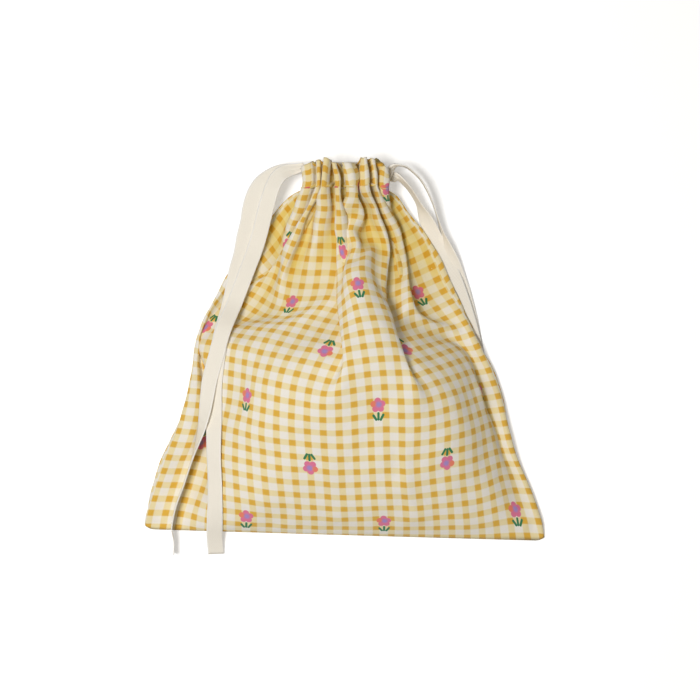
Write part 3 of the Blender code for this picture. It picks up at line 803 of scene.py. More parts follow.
rows_up = np.concatenate([
    np.linspace(0, HEM, BODY_ROWS),
    np.linspace(HEM, PANEL_HEIGHT, CASING_ROWS)[1:],
    np.linspace(PANEL_HEIGHT, PANEL_HEIGHT + CASING, CASING_ROWS)[1:],
])
sewn_rows = BODY_ROWS
settled_columns = settled.shape[1]
column_shares = (
    np.append(np.arange(settled_columns) / settled_columns, 1.0),
    np.append(even_shares(settled_columns)[0], 1.0),
)


def pleats_round(round_it):
    """Share round the oval and rise out of it, at millimetres round the pouch."""
    return pleat_places(np.interp((round_it / (2 * PANEL_WIDTH)) % 1.0, *column_shares))


def outer_wall(up, round_it):
    """Points on the settled cloth at heights up the panel and millimetres round the pouch."""
    at_row = up / PANEL_HEIGHT * (len(settled) - 1)
    at_column = round_it / (2 * PANEL_WIDTH) * settled.shape[1]
    points = read_grid(settled, at_row, at_column)
    points[..., 1] -= NECK_SINK * ease(SINK_FROM, PANEL_HEIGHT, up)[:, None]
    return points


def outward(points):
    """Unit normals of a grid of points, out of the pouch."""
    normal = np.cross(np.gradient(points, axis=1), np.gradient(points, axis=0))
    return normal / (np.linalg.norm(normal, axis=2, keepdims=True) + TINY)


def inner_wall(up, round_it):
    """The turned-in casing: the outer wall at the fold and at the hem, flatter in between."""
    outside = outer_wall(2 * PANEL_HEIGHT - up, round_it)
    depth = (up - PANEL_HEIGHT)[:, None]
    along, out = pleats_round(round_it)
    x, z = on_oval(along, INNER_PLEAT * out, INNER_SHRINK)
    free = ease(0, TURN_ROUND, depth) * (1 - ease(CASING - TURN_ROUND, CASING, depth))
    points = outside.copy()
    points[..., 0] += free * (x[None, :] - outside[..., 0])
    points[..., 2] += free * (z[None, :] - outside[..., 2])
    return points


print(len(rows_up), "rows, of which", BODY_ROWS, "go up to the hem and the rest up and down the casing")

# %% [markdown]
# ## The small forms
#
# Four small forms tell cotton from rubber. The top edge of a gathered neck comes down at both
# sides and stands higher at each crest. A seam or a hem draws the cloth in, so what is sewn
# lies deeper than what is beside it. Cotton keeps low wrinkles from lying folded, and the
# casing puckers between its stitches. And a corner that was sewn and turned is never sharp.

# %% The top edge
TOP_BAND = (HEM - 2, PANEL_HEIGHT)  # mm up the panel: where it starts, and where it is full
TOP_ROUND = 5.0  # how far the top edge comes down at the sides of the neck
TOP_SIDES = (17, 31)  # from the neck's middle to where that starts, and to where it is full
LOBE_ROUND = 2.0  # how much higher a pleat's crest stands than its valley
CASING_PUFF = 0.3


def round_the_top(points, round_it):
    """Rounds the neck's top edge: lower at both sides, higher at each crest, puffed between."""
    up = rows_up[:, None]
    above = ease(*TOP_BAND, PANEL_HEIGHT - np.abs(up - PANEL_HEIGHT))
    crest = LOBE_ROUND * (pleats_round(round_it)[1] / PLEAT_RISE - 0.5)
    side = TOP_ROUND * ease(*TOP_SIDES, np.abs(points[..., 0] - NECK_ACROSS))
    points[..., 1] += above * (crest[None, :] - side)
    share = np.clip((up - HEM) / CASING, 0, 1)
    puff = CASING_PUFF * np.sin(np.pi * share) * (up <= PANEL_HEIGHT)
    return points + puff[..., None] * outward(points)


print("crests stand", LOBE_ROUND, "mm over valleys, and the sides", TOP_ROUND, "mm lower than the middle")

# %% Wrinkles and puckers
WRINKLES = ((10, 20, 0.5), (27, 50, 0.3))  # rows and columns of the noise, and its height in mm
WRINKLE_SEED = 11
WRINKLE_BAND = (0, 14)
PULLED_OUT = 0.6  # towards the gathers the wrinkles are pulled out by this share
PULLED_BAND = (150, 220)
SWAY = (24, 36, 1.1)
SWAY_SEED = 5
SWAY_UP = 0.6
SWAY_BAND = (HEM - 40, HEM - 5)
PUCKER = 0.4
PUCKER_BAND = (HEM - 12, HEM)
PUCKER_ROUND = 6.3  # mm of cloth from one small pucker of the casing to the next
PUCKER_DRIFT = 1.3  # how far the puckers' spacing drifts, in radians,
DRIFT_ROUND = 23  # and over how many mm round the pouch


def uneven(up, round_it, rows, columns, height, seed):
    """Random heights on a coarse grid over both panels, read smoothly between its points."""
    noise = np.random.default_rng(seed).normal(0, height, (rows, columns, 1))
    at_row = np.minimum(up / PANEL_HEIGHT, 1) * (rows - 1)
    return read_grid(noise, at_row, round_it / (2 * PANEL_WIDTH) * columns)[..., 0]


def roughened(points, up, round_it):
    """Low wrinkles and the casing's puckers stand out; the pleats of the neck sway sideways.

    The back's wrinkles mirror the front's, so the two lie in each other along the margins."""
    mirrored = np.minimum(round_it, 2 * PANEL_WIDTH - round_it)
    side = 1 if round_it[0] < PANEL_WIDTH else -1
    low = side * sum(uneven(up, mirrored, *size, seed=WRINKLE_SEED) for size in WRINKLES)
    low = low * (ease(*WRINKLE_BAND, up) * (1 - PULLED_OUT * ease(*PULLED_BAND, up)))[:, None]
    at_neck = ease(*PUCKER_BAND, up)[:, None]
    drift = PUCKER_DRIFT * np.sin(round_it / DRIFT_ROUND)
    pucker = PUCKER * at_neck * np.sin(2 * np.pi * round_it / PUCKER_ROUND + drift)
    points = points + (low + pucker)[..., None] * outward(points)
    sway = uneven(up, round_it, *SWAY, seed=SWAY_SEED)
    points[..., 0] += ease(*SWAY_BAND, up)[:, None] * sway
    points[..., 1] += at_neck * (pucker + SWAY_UP * sway)
    return points


print("wrinkles of", [size[2] for size in WRINKLES], "mm, puckers of", PUCKER, "mm every", PUCKER_ROUND, "mm")

# %% The bottom corners, and one panel put together
HEM_PINCH = 0.12
HEM_LINE = 1.2  # half-breadth of the line that a row of stitches draws in
SEAM_PINCH = 0.9
SEAM_LINE = 1.6
SEAM_BAND = (4, 20)  # the seam is drawn in from here on, fully from the second height,
SEAM_END = (HEM - 8, HEM)  # and less and less between these
CORNER_ROUND = 8.0
FLARE = 0.03  # the bottom edge lies this much wider than the cloth above it
FLARE_UP = 28.0


def round_corners(points, from_seam, up):
    """Widens the bottom by 1 + FLARE * exp(-(up / FLARE_UP)^2), and rounds both its corners.

    What lies outside a corner's arc moves straight to it."""
    points[..., 0] *= 1 + FLARE * np.exp(-((up / FLARE_UP) ** 2))[:, None]
    across = np.maximum(CORNER_ROUND - from_seam, 0)[None, :]
    down = np.maximum(CORNER_ROUND - up, 0)[:, None]
    far = np.hypot(across, down)
    share = np.maximum(1 - CORNER_ROUND / np.maximum(far, TINY), 0)
    points[..., 0] += share * across * -np.sign(points[..., 0])
    points[..., 1] += share * down
    return points


def panel_points(start):
    """One panel's points, rows by columns, from its start in millimetres round the pouch.

    Seam and hem are drawn in by pinch * exp(-(distance / line)^2)."""
    round_it = start + np.linspace(0, PANEL_WIDTH, PANEL_COLUMNS)
    up = rows_up[rows_up <= PANEL_HEIGHT]
    points = roughened(outer_wall(up, round_it), up, round_it)
    pinch = HEM_PINCH * np.exp(-(((up - HEM) / HEM_LINE) ** 2))[:, None]
    from_seam = np.minimum(round_it - start, start + PANEL_WIDTH - round_it)
    seam = SEAM_PINCH * np.exp(-((from_seam / SEAM_LINE) ** 2))[None, :]
    seam = seam * (ease(*SEAM_BAND, up) * (1 - ease(*SEAM_END, up)))[:, None]
    points -= (pinch + seam)[..., None] * outward(points)
    points = round_corners(points, from_seam, up)
    points = np.concatenate([points, inner_wall(rows_up[len(up) :], round_it)])
    return round_the_top(points, round_it)


front = panel_points(0.0)
back = panel_points(PANEL_WIDTH)
print("grid of each panel:", front.shape[:2], "- sewn up to row", sewn_rows)

# %% [markdown]
# ## One panel over the other
#
# Along its margins the filled cloth is nearly flat, so the added wrinkles could push the front
# through the back. There the front is lifted, and the lift is spread so that it doesn't show.

# %% Keeping the front over the back
LAYER_GAP = 1.4  # the front lies at least this high over the back
LAYER_CELL = 2.0
LAYER_TOP = 215.0  # above this the pleats lie in each other
SPREAD_ROUNDS = 12
NEED_BAND = (1, 9)  # mm from a panel's edge, where front and back have to meet
LIFT_BAND = (0, 6)


def spread(need):
    """A smooth cover: the mean of four neighbours, but nowhere less than what is needed."""
    cover = need
    for _ in range(SPREAD_ROUNDS):
        wide = np.pad(cover, 1, mode="edge")
        mean = (wide[:-2, 1:-1] + wide[2:, 1:-1] + wide[1:-1, :-2] + wide[1:-1, 2:]) / 4
        cover = np.maximum(need, mean)
    return cover


def lift_off_back(front, back):
    """The front's heights, lifted where it would lie less than a gap above the floor or the back.

    The back's highest point in each cell of the plan stands for its height there."""

    def cells(points):
        return tuple(((points[..., :2] + PANEL_WIDTH) / LAYER_CELL).astype(int).T)

    body = rows_up < LAYER_TOP
    under = np.full((int(2 * PANEL_WIDTH / LAYER_CELL),) * 2, FLOOR)
    np.maximum.at(under, cells(back[body]), back[body][..., 2].T)
    columns = np.linspace(0, PANEL_WIDTH, PANEL_COLUMNS)
    from_edge = np.minimum(np.minimum(columns, PANEL_WIDTH - columns)[None, :], rows_up[:, None])
    inside = ease(*NEED_BAND, from_edge) * body[:, None]
    need = np.maximum(under[cells(front)].T + LAYER_GAP - front[..., 2], 0) * inside
    return front[..., 2] + spread(need) * ease(*LIFT_BAND, from_edge)


lifted = lift_off_back(front, back)
print("the front is lifted by up to", (lifted - front[..., 2]).max().round(1), "mm")
front[..., 2] = lifted

# %% [markdown]
# ## Room for the ribbons
#
# Each pair of tails comes out of a slit, so there the front's wall is lifted and the back's
# lowered. The right pair then runs under the pouch, whose cloth rests on it. That is added
# here as a smooth lift of whatever is lower than the ribbons near their route.

# %% Ribbon routes as smooth curves
RIBBON_WIDTH = 10.0
RIBBON_THICKNESS = 0.6
BUNCHED_WIDTH = 5.5
RIBBON_STEP = 1.5


def smooth_route(points):
    """Centre, way of the width and bunching every RIBBON_STEP along a list of route points.

    A piecewise cubic goes through the points, each with the slope of its two neighbours."""
    points = np.array(points, float)
    chord = np.concatenate([[0], np.cumsum(np.linalg.norm(np.diff(points[:, :3], axis=0), axis=1))])
    at = np.linspace(0, chord[-1], int(round(chord[-1] / RIBBON_STEP)) + 1)
    padded = np.concatenate([2 * points[:1] - points[1:2], points, 2 * points[-1:] - points[-2:-1]])
    k = np.clip(np.searchsorted(chord, at, side="right") - 1, 0, len(points) - 2)
    t = ((at - chord[k]) / (chord[k + 1] - chord[k]))[:, None]
    route = smooth_between(*[padded[k + shift] for shift in (0, 1, 2, 3)], t)
    return route[:, :3], route[:, 3:6], np.clip(route[:, 6], 0, 1)


def distance_to(plan, route):
    """Distance on the plan from each point to the nearest point of a route."""
    gap = plan[..., None, :] - route[:, :2]
    return np.sqrt((gap**2).sum(-1).min(-1))


print("the left front tail is read at", len(smooth_route(LEFT_FRONT_TAIL)[0]), "places")

# %% Lifting the cloth over the right pair, and opening the slits
UNDER_FROM = 66.0  # the right pair is under the cloth, or its edge, below this
RIBBON_TOP = 2.9
LIFT_EDGE = (6, 14)  # how far beside the ribbons the lift starts to ease off, and ends
LIFTED_FROM = 40  # only cloth to the right of this can lie on them
LIFTED_ABOVE = 12  # and only up to this much above UNDER_FROM
FRONT_CLEARANCE = 1.6
BACK_CLEARANCE = 0.5
SLIT_LIFT = 2.2
SLIT_EDGE = (8, 22)
SLIT_BAND = (HEM, HEM + 4)
SLIT_END = (PANEL_HEIGHT + 10, PANEL_HEIGHT + CASING)

right_pair = np.concatenate([smooth_route(RIGHT_FRONT_TAIL)[0], smooth_route(RIGHT_BACK_TAIL)[0]])
right_pair = right_pair[right_pair[:, 1] < UNDER_FROM][::2]


def lift_over_ribbons(points, clearance):
    """Raises points to the ribbons' top and a clearance, eased off beside them."""
    near = (points[..., 0] > LIFTED_FROM) & (points[..., 1] < UNDER_FROM + LIFTED_ABOVE)
    plan = points[near]
    needed = (RIBBON_TOP + clearance) * (1 - ease(*LIFT_EDGE, distance_to(plan[:, :2], right_pair)))
    gap = needed - plan[:, 2]
    plan[:, 2] += np.where(gap > 0, gap, 0)
    points[near] = plan
    return points


def open_slits(points, way):
    """Moves the casing's wall up or down next to both slits."""
    from_seam = np.linspace(0, PANEL_WIDTH, PANEL_COLUMNS)
    from_seam = np.minimum(from_seam, PANEL_WIDTH - from_seam)
    share = (1 - ease(*SLIT_EDGE, from_seam))[None, :] * ease(*SLIT_BAND, rows_up)[:, None]
    share = share * (1 - ease(*SLIT_END, rows_up))[:, None]
    points[..., 2] += way * SLIT_LIFT * share
    return points


front = open_slits(lift_over_ribbons(front, FRONT_CLEARANCE), 1)
back = open_slits(lift_over_ribbons(back, BACK_CLEARANCE), -1)
back[..., 2] = np.maximum(back[..., 2], FLOOR)
print("the front's highest point is at", front[..., 2].max().round(1), "mm")

# %% [markdown]
# ## Light between the folds
#
# Between two folds of yellow cloth the light has bounced several times, so gathers look deeper
# and yellower than open cloth. A renderer follows only a few bounces, and other programs none.
# So each point gets a painted shade, worked out from how deep it lies in its fold and how near
# the gathers it is, for the material, which multiplies it into the colour.

# %% Where the cloth is gathered and where it is hollow
PAINTED_SHADE_ROUNDS = 60
PAINTED_SHADE_DEPTH = 2.6  # mm below its surroundings at which a fold has its darkest painted shade
PAINTED_SHADE_CREST = -0.4  # the most that a crest takes off the painted shade
PAINTED_SHADE_FROM = 120.0
PAINTED_SHADE_GATHERED = 0.55
OPEN_FOLD, CLOSE_FOLD = 0.25, 0.75  # a fold's share on open cloth, and what the gathers add


def painted_fold_shade(points):
    """Painted shade: 0 on open cloth, up to 1 in deep folds and towards the gathers.

    Depth is measured along the normal, from the surface as it would be without its folds."""
    wide = points
    for _ in range(PAINTED_SHADE_ROUNDS):
        near = np.pad(wide, ((1, 1), (1, 1), (0, 0)), mode="edge")
        wide = (near[:-2, 1:-1] + near[2:, 1:-1] + near[1:-1, :-2] + near[1:-1, 2:]) / 4
    depth = ((wide - points) * outward(points)).sum(2)
    gathered = ease(PAINTED_SHADE_FROM, HEM, rows_up)[:, None]
    hollow = np.clip(depth / PAINTED_SHADE_DEPTH, PAINTED_SHADE_CREST, 1)
    return np.clip(PAINTED_SHADE_GATHERED * gathered + (OPEN_FOLD + CLOSE_FOLD * gathered) * hollow, 0, 1)


painted_shade = np.concatenate([painted_fold_shade(front).ravel(), painted_fold_shade(back).ravel()])
print("tone of the folds:", painted_shade.mean().round(2), "on average,", painted_shade.max().round(2), "at most")

# %% [markdown]
# ## One mesh
#
# Each cell of a grid becomes a face, and each corner of a face keeps its place on the flat
# cloth as its UV. The back shares its points with the front along the bottom fold and, up to
# the slits, along both seams. The modifier Solidify then gives the cloth its thickness.

# %% Joining the panels into one mesh
WALL = 0.5


def face_corners(numbers):
    """Four point numbers for each cell of a grid, so that its face looks outwards."""
    corners = [numbers[:-1, :-1], numbers[:-1, 1:], numbers[1:, 1:], numbers[1:, :-1]]
    return np.stack(corners, axis=-1).reshape(-1, 4)


def corner_uv(across, up):
    """The same four corners' places on the flat cloth, in metres."""
    u, v = np.meshgrid(across * MM, up * MM)
    return np.stack([face_corners(u), face_corners(v)], axis=-1).reshape(-1, 2)


def surface_mesh(name, points, faces, uv, painted_shade):
    """A mesh in metres from points in millimetres, faces, a UV for each corner and a painted shade."""
    used, faces = np.unique(faces, return_inverse=True)
    mesh = bpy.data.meshes.new(name)
    mesh.from_pydata((points[used] * MM).tolist(), [], faces.reshape(-1, 4).tolist())
    mesh.uv_layers.new(name="cloth").data.foreach_set("uv", uv.astype(np.float32).ravel())
    # the painted shade of the folds is kept as a point attribute for the material
    shade_attribute = mesh.attributes.new("painted_fold_shade", "FLOAT", "POINT")
    shade_attribute.data.foreach_set("value", painted_shade[used].astype(np.float32))
    mesh.shade_smooth()
    return mesh


front_numbers = np.arange(front[..., 0].size).reshape(front.shape[:2])
back_numbers = front_numbers + front_numbers.size
back_numbers[:sewn_rows, 0] = front_numbers[:sewn_rows, -1]
back_numbers[:sewn_rows, -1] = front_numbers[:sewn_rows, 0]
back_numbers[0] = front_numbers[0, ::-1]

# The back panel goes on below the bottom fold, so its print is upside down
across_front = np.linspace(0, PANEL_WIDTH, PANEL_COLUMNS)
pouch = add_object("pouch", surface_mesh(
    "pouch",
    np.concatenate([front.reshape(-1, 3), back.reshape(-1, 3)]),
    np.concatenate([face_corners(front_numbers), face_corners(back_numbers)]),
    np.concatenate([corner_uv(across_front, rows_up), corner_uv(across_front[::-1], -rows_up)]),
    painted_shade,
))
wall = pouch.modifiers.new("cloth", "SOLIDIFY")
wall.thickness = WALL * MM
wall.offset = -1
print("pouch:", len(pouch.data.vertices), "points,", len(pouch.data.polygons), "faces on one side")

# %% [markdown]
# ## The ribbons
#
# A ribbon is a flat tape with two thicker woven edges. Its section is carried along the
# route, turned to the width's own way, so it can lie flat in one place and stand on edge in
# another. Each ring of a left tail is then raised or lowered until it just lies on what is
# under it: the cloth's highest point below it, the other ribbon, or the floor. The right tails
# run under the pouch, whose cloth is lifted over them instead.

# %% What lies under a ribbon
MAP_CELL = 1.0
MAP_LOW = np.array([-150.0, -150.0])
MAP_SIZE = (300, 300)
NOTHING = -50.0  # the height of a cell that nothing lies in


def map_cell(points):
    """Row and column of the cell that each point is in."""
    cell = np.clip(((points[..., :2] - MAP_LOW) / MAP_CELL).astype(int), 0, np.array(MAP_SIZE) - 1)
    return cell[..., 0], cell[..., 1]


def height_map(points):
    """Highest z in each cell of a plan."""
    heights = np.full(MAP_SIZE, NOTHING)
    np.maximum.at(heights, map_cell(points), points[:, 2])
    return heights


def dense(points):
    """A panel's points with three more between each two, so no map cell is missed."""
    for axis in (0, 1):
        points = np.moveaxis(points, axis, 0)
        steps = np.linspace(0, 1, 5)[:-1, None, None]
        points = (points[:-1, None] * (1 - steps) + points[1:, None] * steps).reshape(-1, *points.shape[1:])
        points = np.moveaxis(points, 0, axis)
    return points.reshape(-1, 3)


below_hem = rows_up <= HEM
cloth_heights = np.maximum(*[height_map(dense(panel[below_hem])) for panel in (front, back)])
print("the cloth covers", int((cloth_heights > NOTHING).sum() * MAP_CELL**2 / 100), "square cm of the plan")

# %% A ribbon's section along its route
SELVEDGE = 0.35  # how much thicker the woven edges are, as a share
SELVEDGE_AT, SELVEDGE_WIDTH = 0.92, 0.08  # shares of the half width
CRUMPLE = 0.5
LIE_CLEARANCE = 0.25  # mm between a ribbon and what it lies on
LIES_FROM = 0.25  # share of a ring that has to be over the cloth for the ring to lie on it
LIE_REACH = 4  # rings on each side that a lift is spread over
ribbon_across = np.linspace(-1, 1, 11)


def ribbon_rings(centres, widths, bunching):
    """Rings of points: the centre + width * across + normal * (half thickness + crumple).

    The selvedges are a little thicker, and where the ribbon is bunched it is crumpled into
    a wave across its width."""
    way = np.gradient(centres, axis=0)
    way /= np.linalg.norm(way, axis=1, keepdims=True)
    width = widths - (widths * way).sum(1, keepdims=True) * way
    width /= np.linalg.norm(width, axis=1, keepdims=True)
    normal = np.cross(way, width)
    half = (RIBBON_WIDTH + (BUNCHED_WIDTH - RIBBON_WIDTH) * bunching)[:, None] / 2
    edge = np.exp(-(((np.abs(ribbon_across) - SELVEDGE_AT) / SELVEDGE_WIDTH) ** 2))
    thick = RIBBON_THICKNESS / 2 * (1 + SELVEDGE * edge)
    crumple = CRUMPLE * bunching[:, None] * np.cos(3 * np.pi * ribbon_across)[None, :]
    side = half[..., None] * ribbon_across[None, :, None] * width[:, None]
    top = centres[:, None] + side + (thick + crumple)[..., None] * normal[:, None]
    bottom = centres[:, None] + side + (crumple - thick)[..., None] * normal[:, None]
    return np.concatenate([top, bottom[:, ::-1]], axis=1)


def laid(rings, heights, held):
    """Rings raised or lowered to lie on the map's heights or on the floor.

    Held rings, near the slit, keep their height. The needed lifts are spread: first the
    highest of the neighbours, then their mean, so no ring comes lower than it may."""
    under = heights[map_cell(rings)]
    on_cloth = (under > NOTHING).mean(1) > LIES_FROM
    lift_to_cloth = (under + LIE_CLEARANCE - rings[..., 2]).max(1)
    lift_to_floor = (LIE_CLEARANCE - rings[..., 2]).max(1)
    order = np.arange(len(rings))
    rests = on_cloth & ~held
    rests[-1] = True
    lift = np.where(on_cloth, np.maximum(lift_to_cloth, lift_to_floor), lift_to_floor)
    known = rests | held
    lift = np.where(held, 0.0, lift)
    lift = np.maximum(np.interp(order, order[known], lift[known]), np.where(held, 0, lift_to_floor))
    wide = np.pad(lift, 2 * LIE_REACH, mode="edge")
    window = 2 * LIE_REACH + 1
    highest = np.lib.stride_tricks.sliding_window_view(wide, window).max(1)
    mean = np.lib.stride_tricks.sliding_window_view(highest, window).mean(1)
    moved = rings.copy()
    moved[..., 2] += np.where(held, lift, mean)[:, None]
    return moved


def ribbon_mesh(name, rings):
    """A closed skin over the rings, with a UV that runs across and along in metres."""
    count, around = rings.shape[:2]
    numbers = np.arange(count * around).reshape(count, around)
    numbers = np.concatenate([numbers, numbers[:, :1]], axis=1)
    faces = face_corners(numbers)[:, ::-1]
    across = np.concatenate([ribbon_across, ribbon_across[::-1], ribbon_across[:1]])
    centre = rings.mean(1)
    run = np.concatenate([[0], np.cumsum(np.linalg.norm(np.diff(centre, axis=0), axis=1))])
    uv = corner_uv(across * RIBBON_WIDTH / 2, run).reshape(-1, 4, 2)[:, ::-1].reshape(-1, 2)
    mesh = bpy.data.meshes.new(name)
    ends = [numbers[0, :-1].tolist(), numbers[-1, -2::-1].tolist()]
    mesh.from_pydata((rings.reshape(-1, 3) * MM).tolist(), [], faces.tolist() + ends)
    end_uv = np.column_stack([np.tile(across[:-1] * RIBBON_WIDTH / 2 * MM, 2), np.zeros(2 * around)])
    every_uv = np.concatenate([uv, end_uv]).astype(np.float32)
    mesh.uv_layers.new(name="cloth").data.foreach_set("uv", every_uv.ravel())
    mesh.shade_smooth()
    return mesh, centre, run[-1]


print("a ribbon's section has", 2 * len(ribbon_across), "points; its edges are", SELVEDGE, "thicker")

# %% The four tails
SLIT_SHARE = 26.0  # mm of route that the slit holds


def tail_rings(route):
    """Rings along one tail before it is laid, and which of them the slit holds."""
    centres, widths, bunching = smooth_route(route)
    run = np.arange(len(centres)) * RIBBON_STEP
    return ribbon_rings(centres, widths, bunching), run < SLIT_SHARE


# The left tails are laid one after the other, each on what already lies there
tails = {}
heights = cloth_heights
for name, route in (("left_back_tail", LEFT_BACK_TAIL), ("left_front_tail", LEFT_FRONT_TAIL)):
    rings, held = tail_rings(route)
    tails[name] = laid(rings, heights, held)
    heights = np.maximum(heights, height_map(dense(tails[name][:, : len(ribbon_across)])))
for name, route in (("right_front_tail", RIGHT_FRONT_TAIL), ("right_back_tail", RIGHT_BACK_TAIL)):
    tails[name] = tail_rings(route)[0]

ribbons = {}
routes = {}
for name, rings in tails.items():
    mesh, centre, length = ribbon_mesh(name, rings)
    ribbons[name] = add_object(name, mesh)
    routes[name] = centre * MM
    lowest, highest = centre[:, 2].min().round(1), centre[:, 2].max().round(1)
    print(name, "is", round(length), "mm long, its middle from", lowest, "to", highest, "mm up")

# %% [markdown]
# ## The ribbons inside the casing
#
# Inside the tunnel each ribbon goes once round the neck, between the outer and the turned-in
# cloth. It shows only through the slits and between the pleats.

# %% The hidden loops
LOOP_HALF_WIDTH = 13.2
LOOP_HALF_DEPTH = 5.6
LOOP_POINTS = 61


def loop_rings(side, height):
    """Rings round the neck's oval from one slit back to the same slit."""
    turn = np.linspace(0, 2 * np.pi, LOOP_POINTS)
    angle = np.pi - turn if side < 0 else turn
    x = NECK_ACROSS + LOOP_HALF_WIDTH * np.cos(angle)
    z = NECK_UP + LOOP_HALF_DEPTH * np.sin(angle)
    centres = np.column_stack([x, np.full_like(x, height), z])
    widths = np.tile([0.0, 1.0, 0.0], (len(x), 1))
    return ribbon_rings(centres, widths, np.ones(len(x)))


for name, side, height in (("left_loop", -1, 112.5), ("right_loop", 1, 106.5)):
    mesh, centre, length = ribbon_mesh(name, loop_rings(side, height))
    ribbons[name] = add_object(name, mesh)
    print(name, "is", round(length), "mm round")

# %% [markdown]
# ## The hem's stitches
#
# The casing is held by one line of lock stitch that runs right round the pouch. Each stitch
# is a short thread that dives into the cloth at both ends, so it is a thin capsule, highest in
# its middle. There are many of them, so each has only a few dozen faces.

# %% One line of stitches
STITCH_LENGTH = 2.6
STITCH_PITCH = 3.0
STITCH_RINGS = 7
STITCH_SIDES = 6
THREAD = 0.26
THREAD_END = 0.02  # least value of (radius / r)^2, so that no end is a single point
SEATED, ARCHED = 0.04, 0.16  # how far a stitch stands off the cloth, and its middle beyond that
PANEL_STEP = 1e-6  # keeps hem_run rising where one panel ends and the next begins

hem_row = sewn_rows - 1
hem_points = np.concatenate([front[hem_row], back[hem_row]])
hem_out = np.concatenate([outward(front)[hem_row], outward(back)[hem_row]])
hem_run = np.concatenate([across_front, PANEL_WIDTH + across_front + PANEL_STEP])


def stitch_rings(starts):
    """Stitches x rings x points: a thread of radius r * (1 - (2 s - 1)^6)^0.5 over s in 0..1."""
    s = np.linspace(0, 1, STITCH_RINGS)
    at = starts[:, None] + s * STITCH_LENGTH
    centre = np.stack([np.interp(at, hem_run, hem_points[:, k]) for k in range(3)], axis=-1)
    out = np.stack([np.interp(at, hem_run, hem_out[:, k]) for k in range(3)], axis=-1)
    way = np.gradient(centre, axis=1)
    way /= np.linalg.norm(way, axis=2, keepdims=True) + TINY
    side = np.cross(way, out)
    radius = THREAD / 2 * np.sqrt(np.maximum(1 - (2 * s - 1) ** 6, THREAD_END))
    centre = centre + (SEATED + ARCHED * np.sin(np.pi * s))[None, :, None] * out
    angle = np.arange(STITCH_SIDES) * 2 * np.pi / STITCH_SIDES
    ring = np.cos(angle)[:, None] * side[:, :, None] + np.sin(angle)[:, None] * out[:, :, None]
    return centre[:, :, None] + radius[None, :, None, None] * ring


stitch_starts = np.arange(1.0, 2 * PANEL_WIDTH - STITCH_LENGTH, STITCH_PITCH)
rings = stitch_rings(stitch_starts)
count, length, around = rings.shape[:3]
numbers = np.arange(count * length * around).reshape(count, length, around)
numbers = np.concatenate([numbers, numbers[..., :1]], axis=2)
corners = [numbers[:, :-1, :-1], numbers[:, 1:, :-1], numbers[:, 1:, 1:], numbers[:, :-1, 1:]]
sides = np.stack(corners, axis=-1).reshape(-1, 4)
ends = np.concatenate([numbers[:, 0, :-1], numbers[:, -1, -2::-1]])
stitch_mesh = bpy.data.meshes.new("hem_stitches")
stitch_mesh.from_pydata((rings.reshape(-1, 3) * MM).tolist(), [], sides.tolist() + ends.tolist())
stitch_mesh.shade_smooth()
stitches = add_object("hem_stitches", stitch_mesh)
print(count, "stitches of", len(sides) // count + 2, "faces")

# %% [markdown]
# ## Building materials from nodes
#
# The cloth and the ribbons are both woven, so the weave is one node group that each material
# places with its own thread size. Patterns read the cloth's own UV, which is in metres on the
# flat cloth: then the print and the threads bend with every fold.

# %% Small helpers for node trees
def screen_colour(red, green, blue):
    """A colour as it is read from a screen, 0 to 255, as Blender's linear light.

    That is share / 12.92 in the darkest tones, and ((share + 0.055) / 1.055)^2.4 above."""
    share = np.array([red, green, blue]) / 255
    linear = np.where(share <= 0.04045, share / 12.92, ((share + 0.055) / 1.055) ** 2.4)
    return (*linear.tolist(), 1.0)


def fill_socket(tree, socket, value):
    """Links a socket into another, or sets it to a plain value."""
    if isinstance(value, bpy.types.NodeSocket):
        tree.links.new(value, socket)
    elif value is not None:
        socket.default_value = value


def calc(tree, operation, *values):
    """A Math node on numbers or sockets."""
    node = tree.nodes.new("ShaderNodeMath")
    node.operation = operation
    for socket, value in zip(node.inputs, values):
        fill_socket(tree, socket, value)
    return node.outputs[0]


def fade(tree, value, low, high):
    """1 below low, 0 above high, smooth in between."""
    node = tree.nodes.new("ShaderNodeMapRange")
    node.interpolation_type = "SMOOTHSTEP"
    node.inputs["To Min"].default_value = 1
    node.inputs["To Max"].default_value = 0
    for name, part in (("Value", value), ("From Min", low), ("From Max", high)):
        fill_socket(tree, node.inputs[name], part)
    return node.outputs["Result"]


def blend_colours(tree, share, first, second, kind="MIX"):
    """A Mix node for colours."""
    node = tree.nodes.new("ShaderNodeMix")
    node.data_type = "RGBA"
    node.blend_type = kind
    for socket, value in zip((node.inputs[0], node.inputs[6], node.inputs[7]), (share, first, second)):
        fill_socket(tree, socket, value)
    return node.outputs[2]


def speckle(tree, place, scale, detail=2.0):
    """A Noise texture's value, around 0.5."""
    node = tree.nodes.new("ShaderNodeTexNoise")
    node.inputs["Scale"].default_value = scale
    node.inputs["Detail"].default_value = detail
    tree.links.new(place, node.inputs["Vector"])
    return node.outputs["Fac"]


def stretched(tree, place, scale):
    """A place scaled by a different factor each way, for streaks."""
    node = tree.nodes.new("ShaderNodeMapping")
    node.inputs["Scale"].default_value = scale
    tree.links.new(place, node.inputs["Vector"])
    return node.outputs["Vector"]


def new_group(name, inputs, outputs):
    """An empty node group with its sockets: name, kind and value for each."""
    tree = bpy.data.node_groups.new(name, "ShaderNodeTree")
    for label, kind, value in inputs:
        socket = tree.interface.new_socket(label, in_out="INPUT", socket_type=kind)
        if value is not None:
            socket.default_value = value
    for label, kind in outputs:
        tree.interface.new_socket(label, in_out="OUTPUT", socket_type=kind)
    entry = tree.nodes.new("NodeGroupInput")
    leave = tree.nodes.new("NodeGroupOutput")
    return tree, entry.outputs, leave.inputs


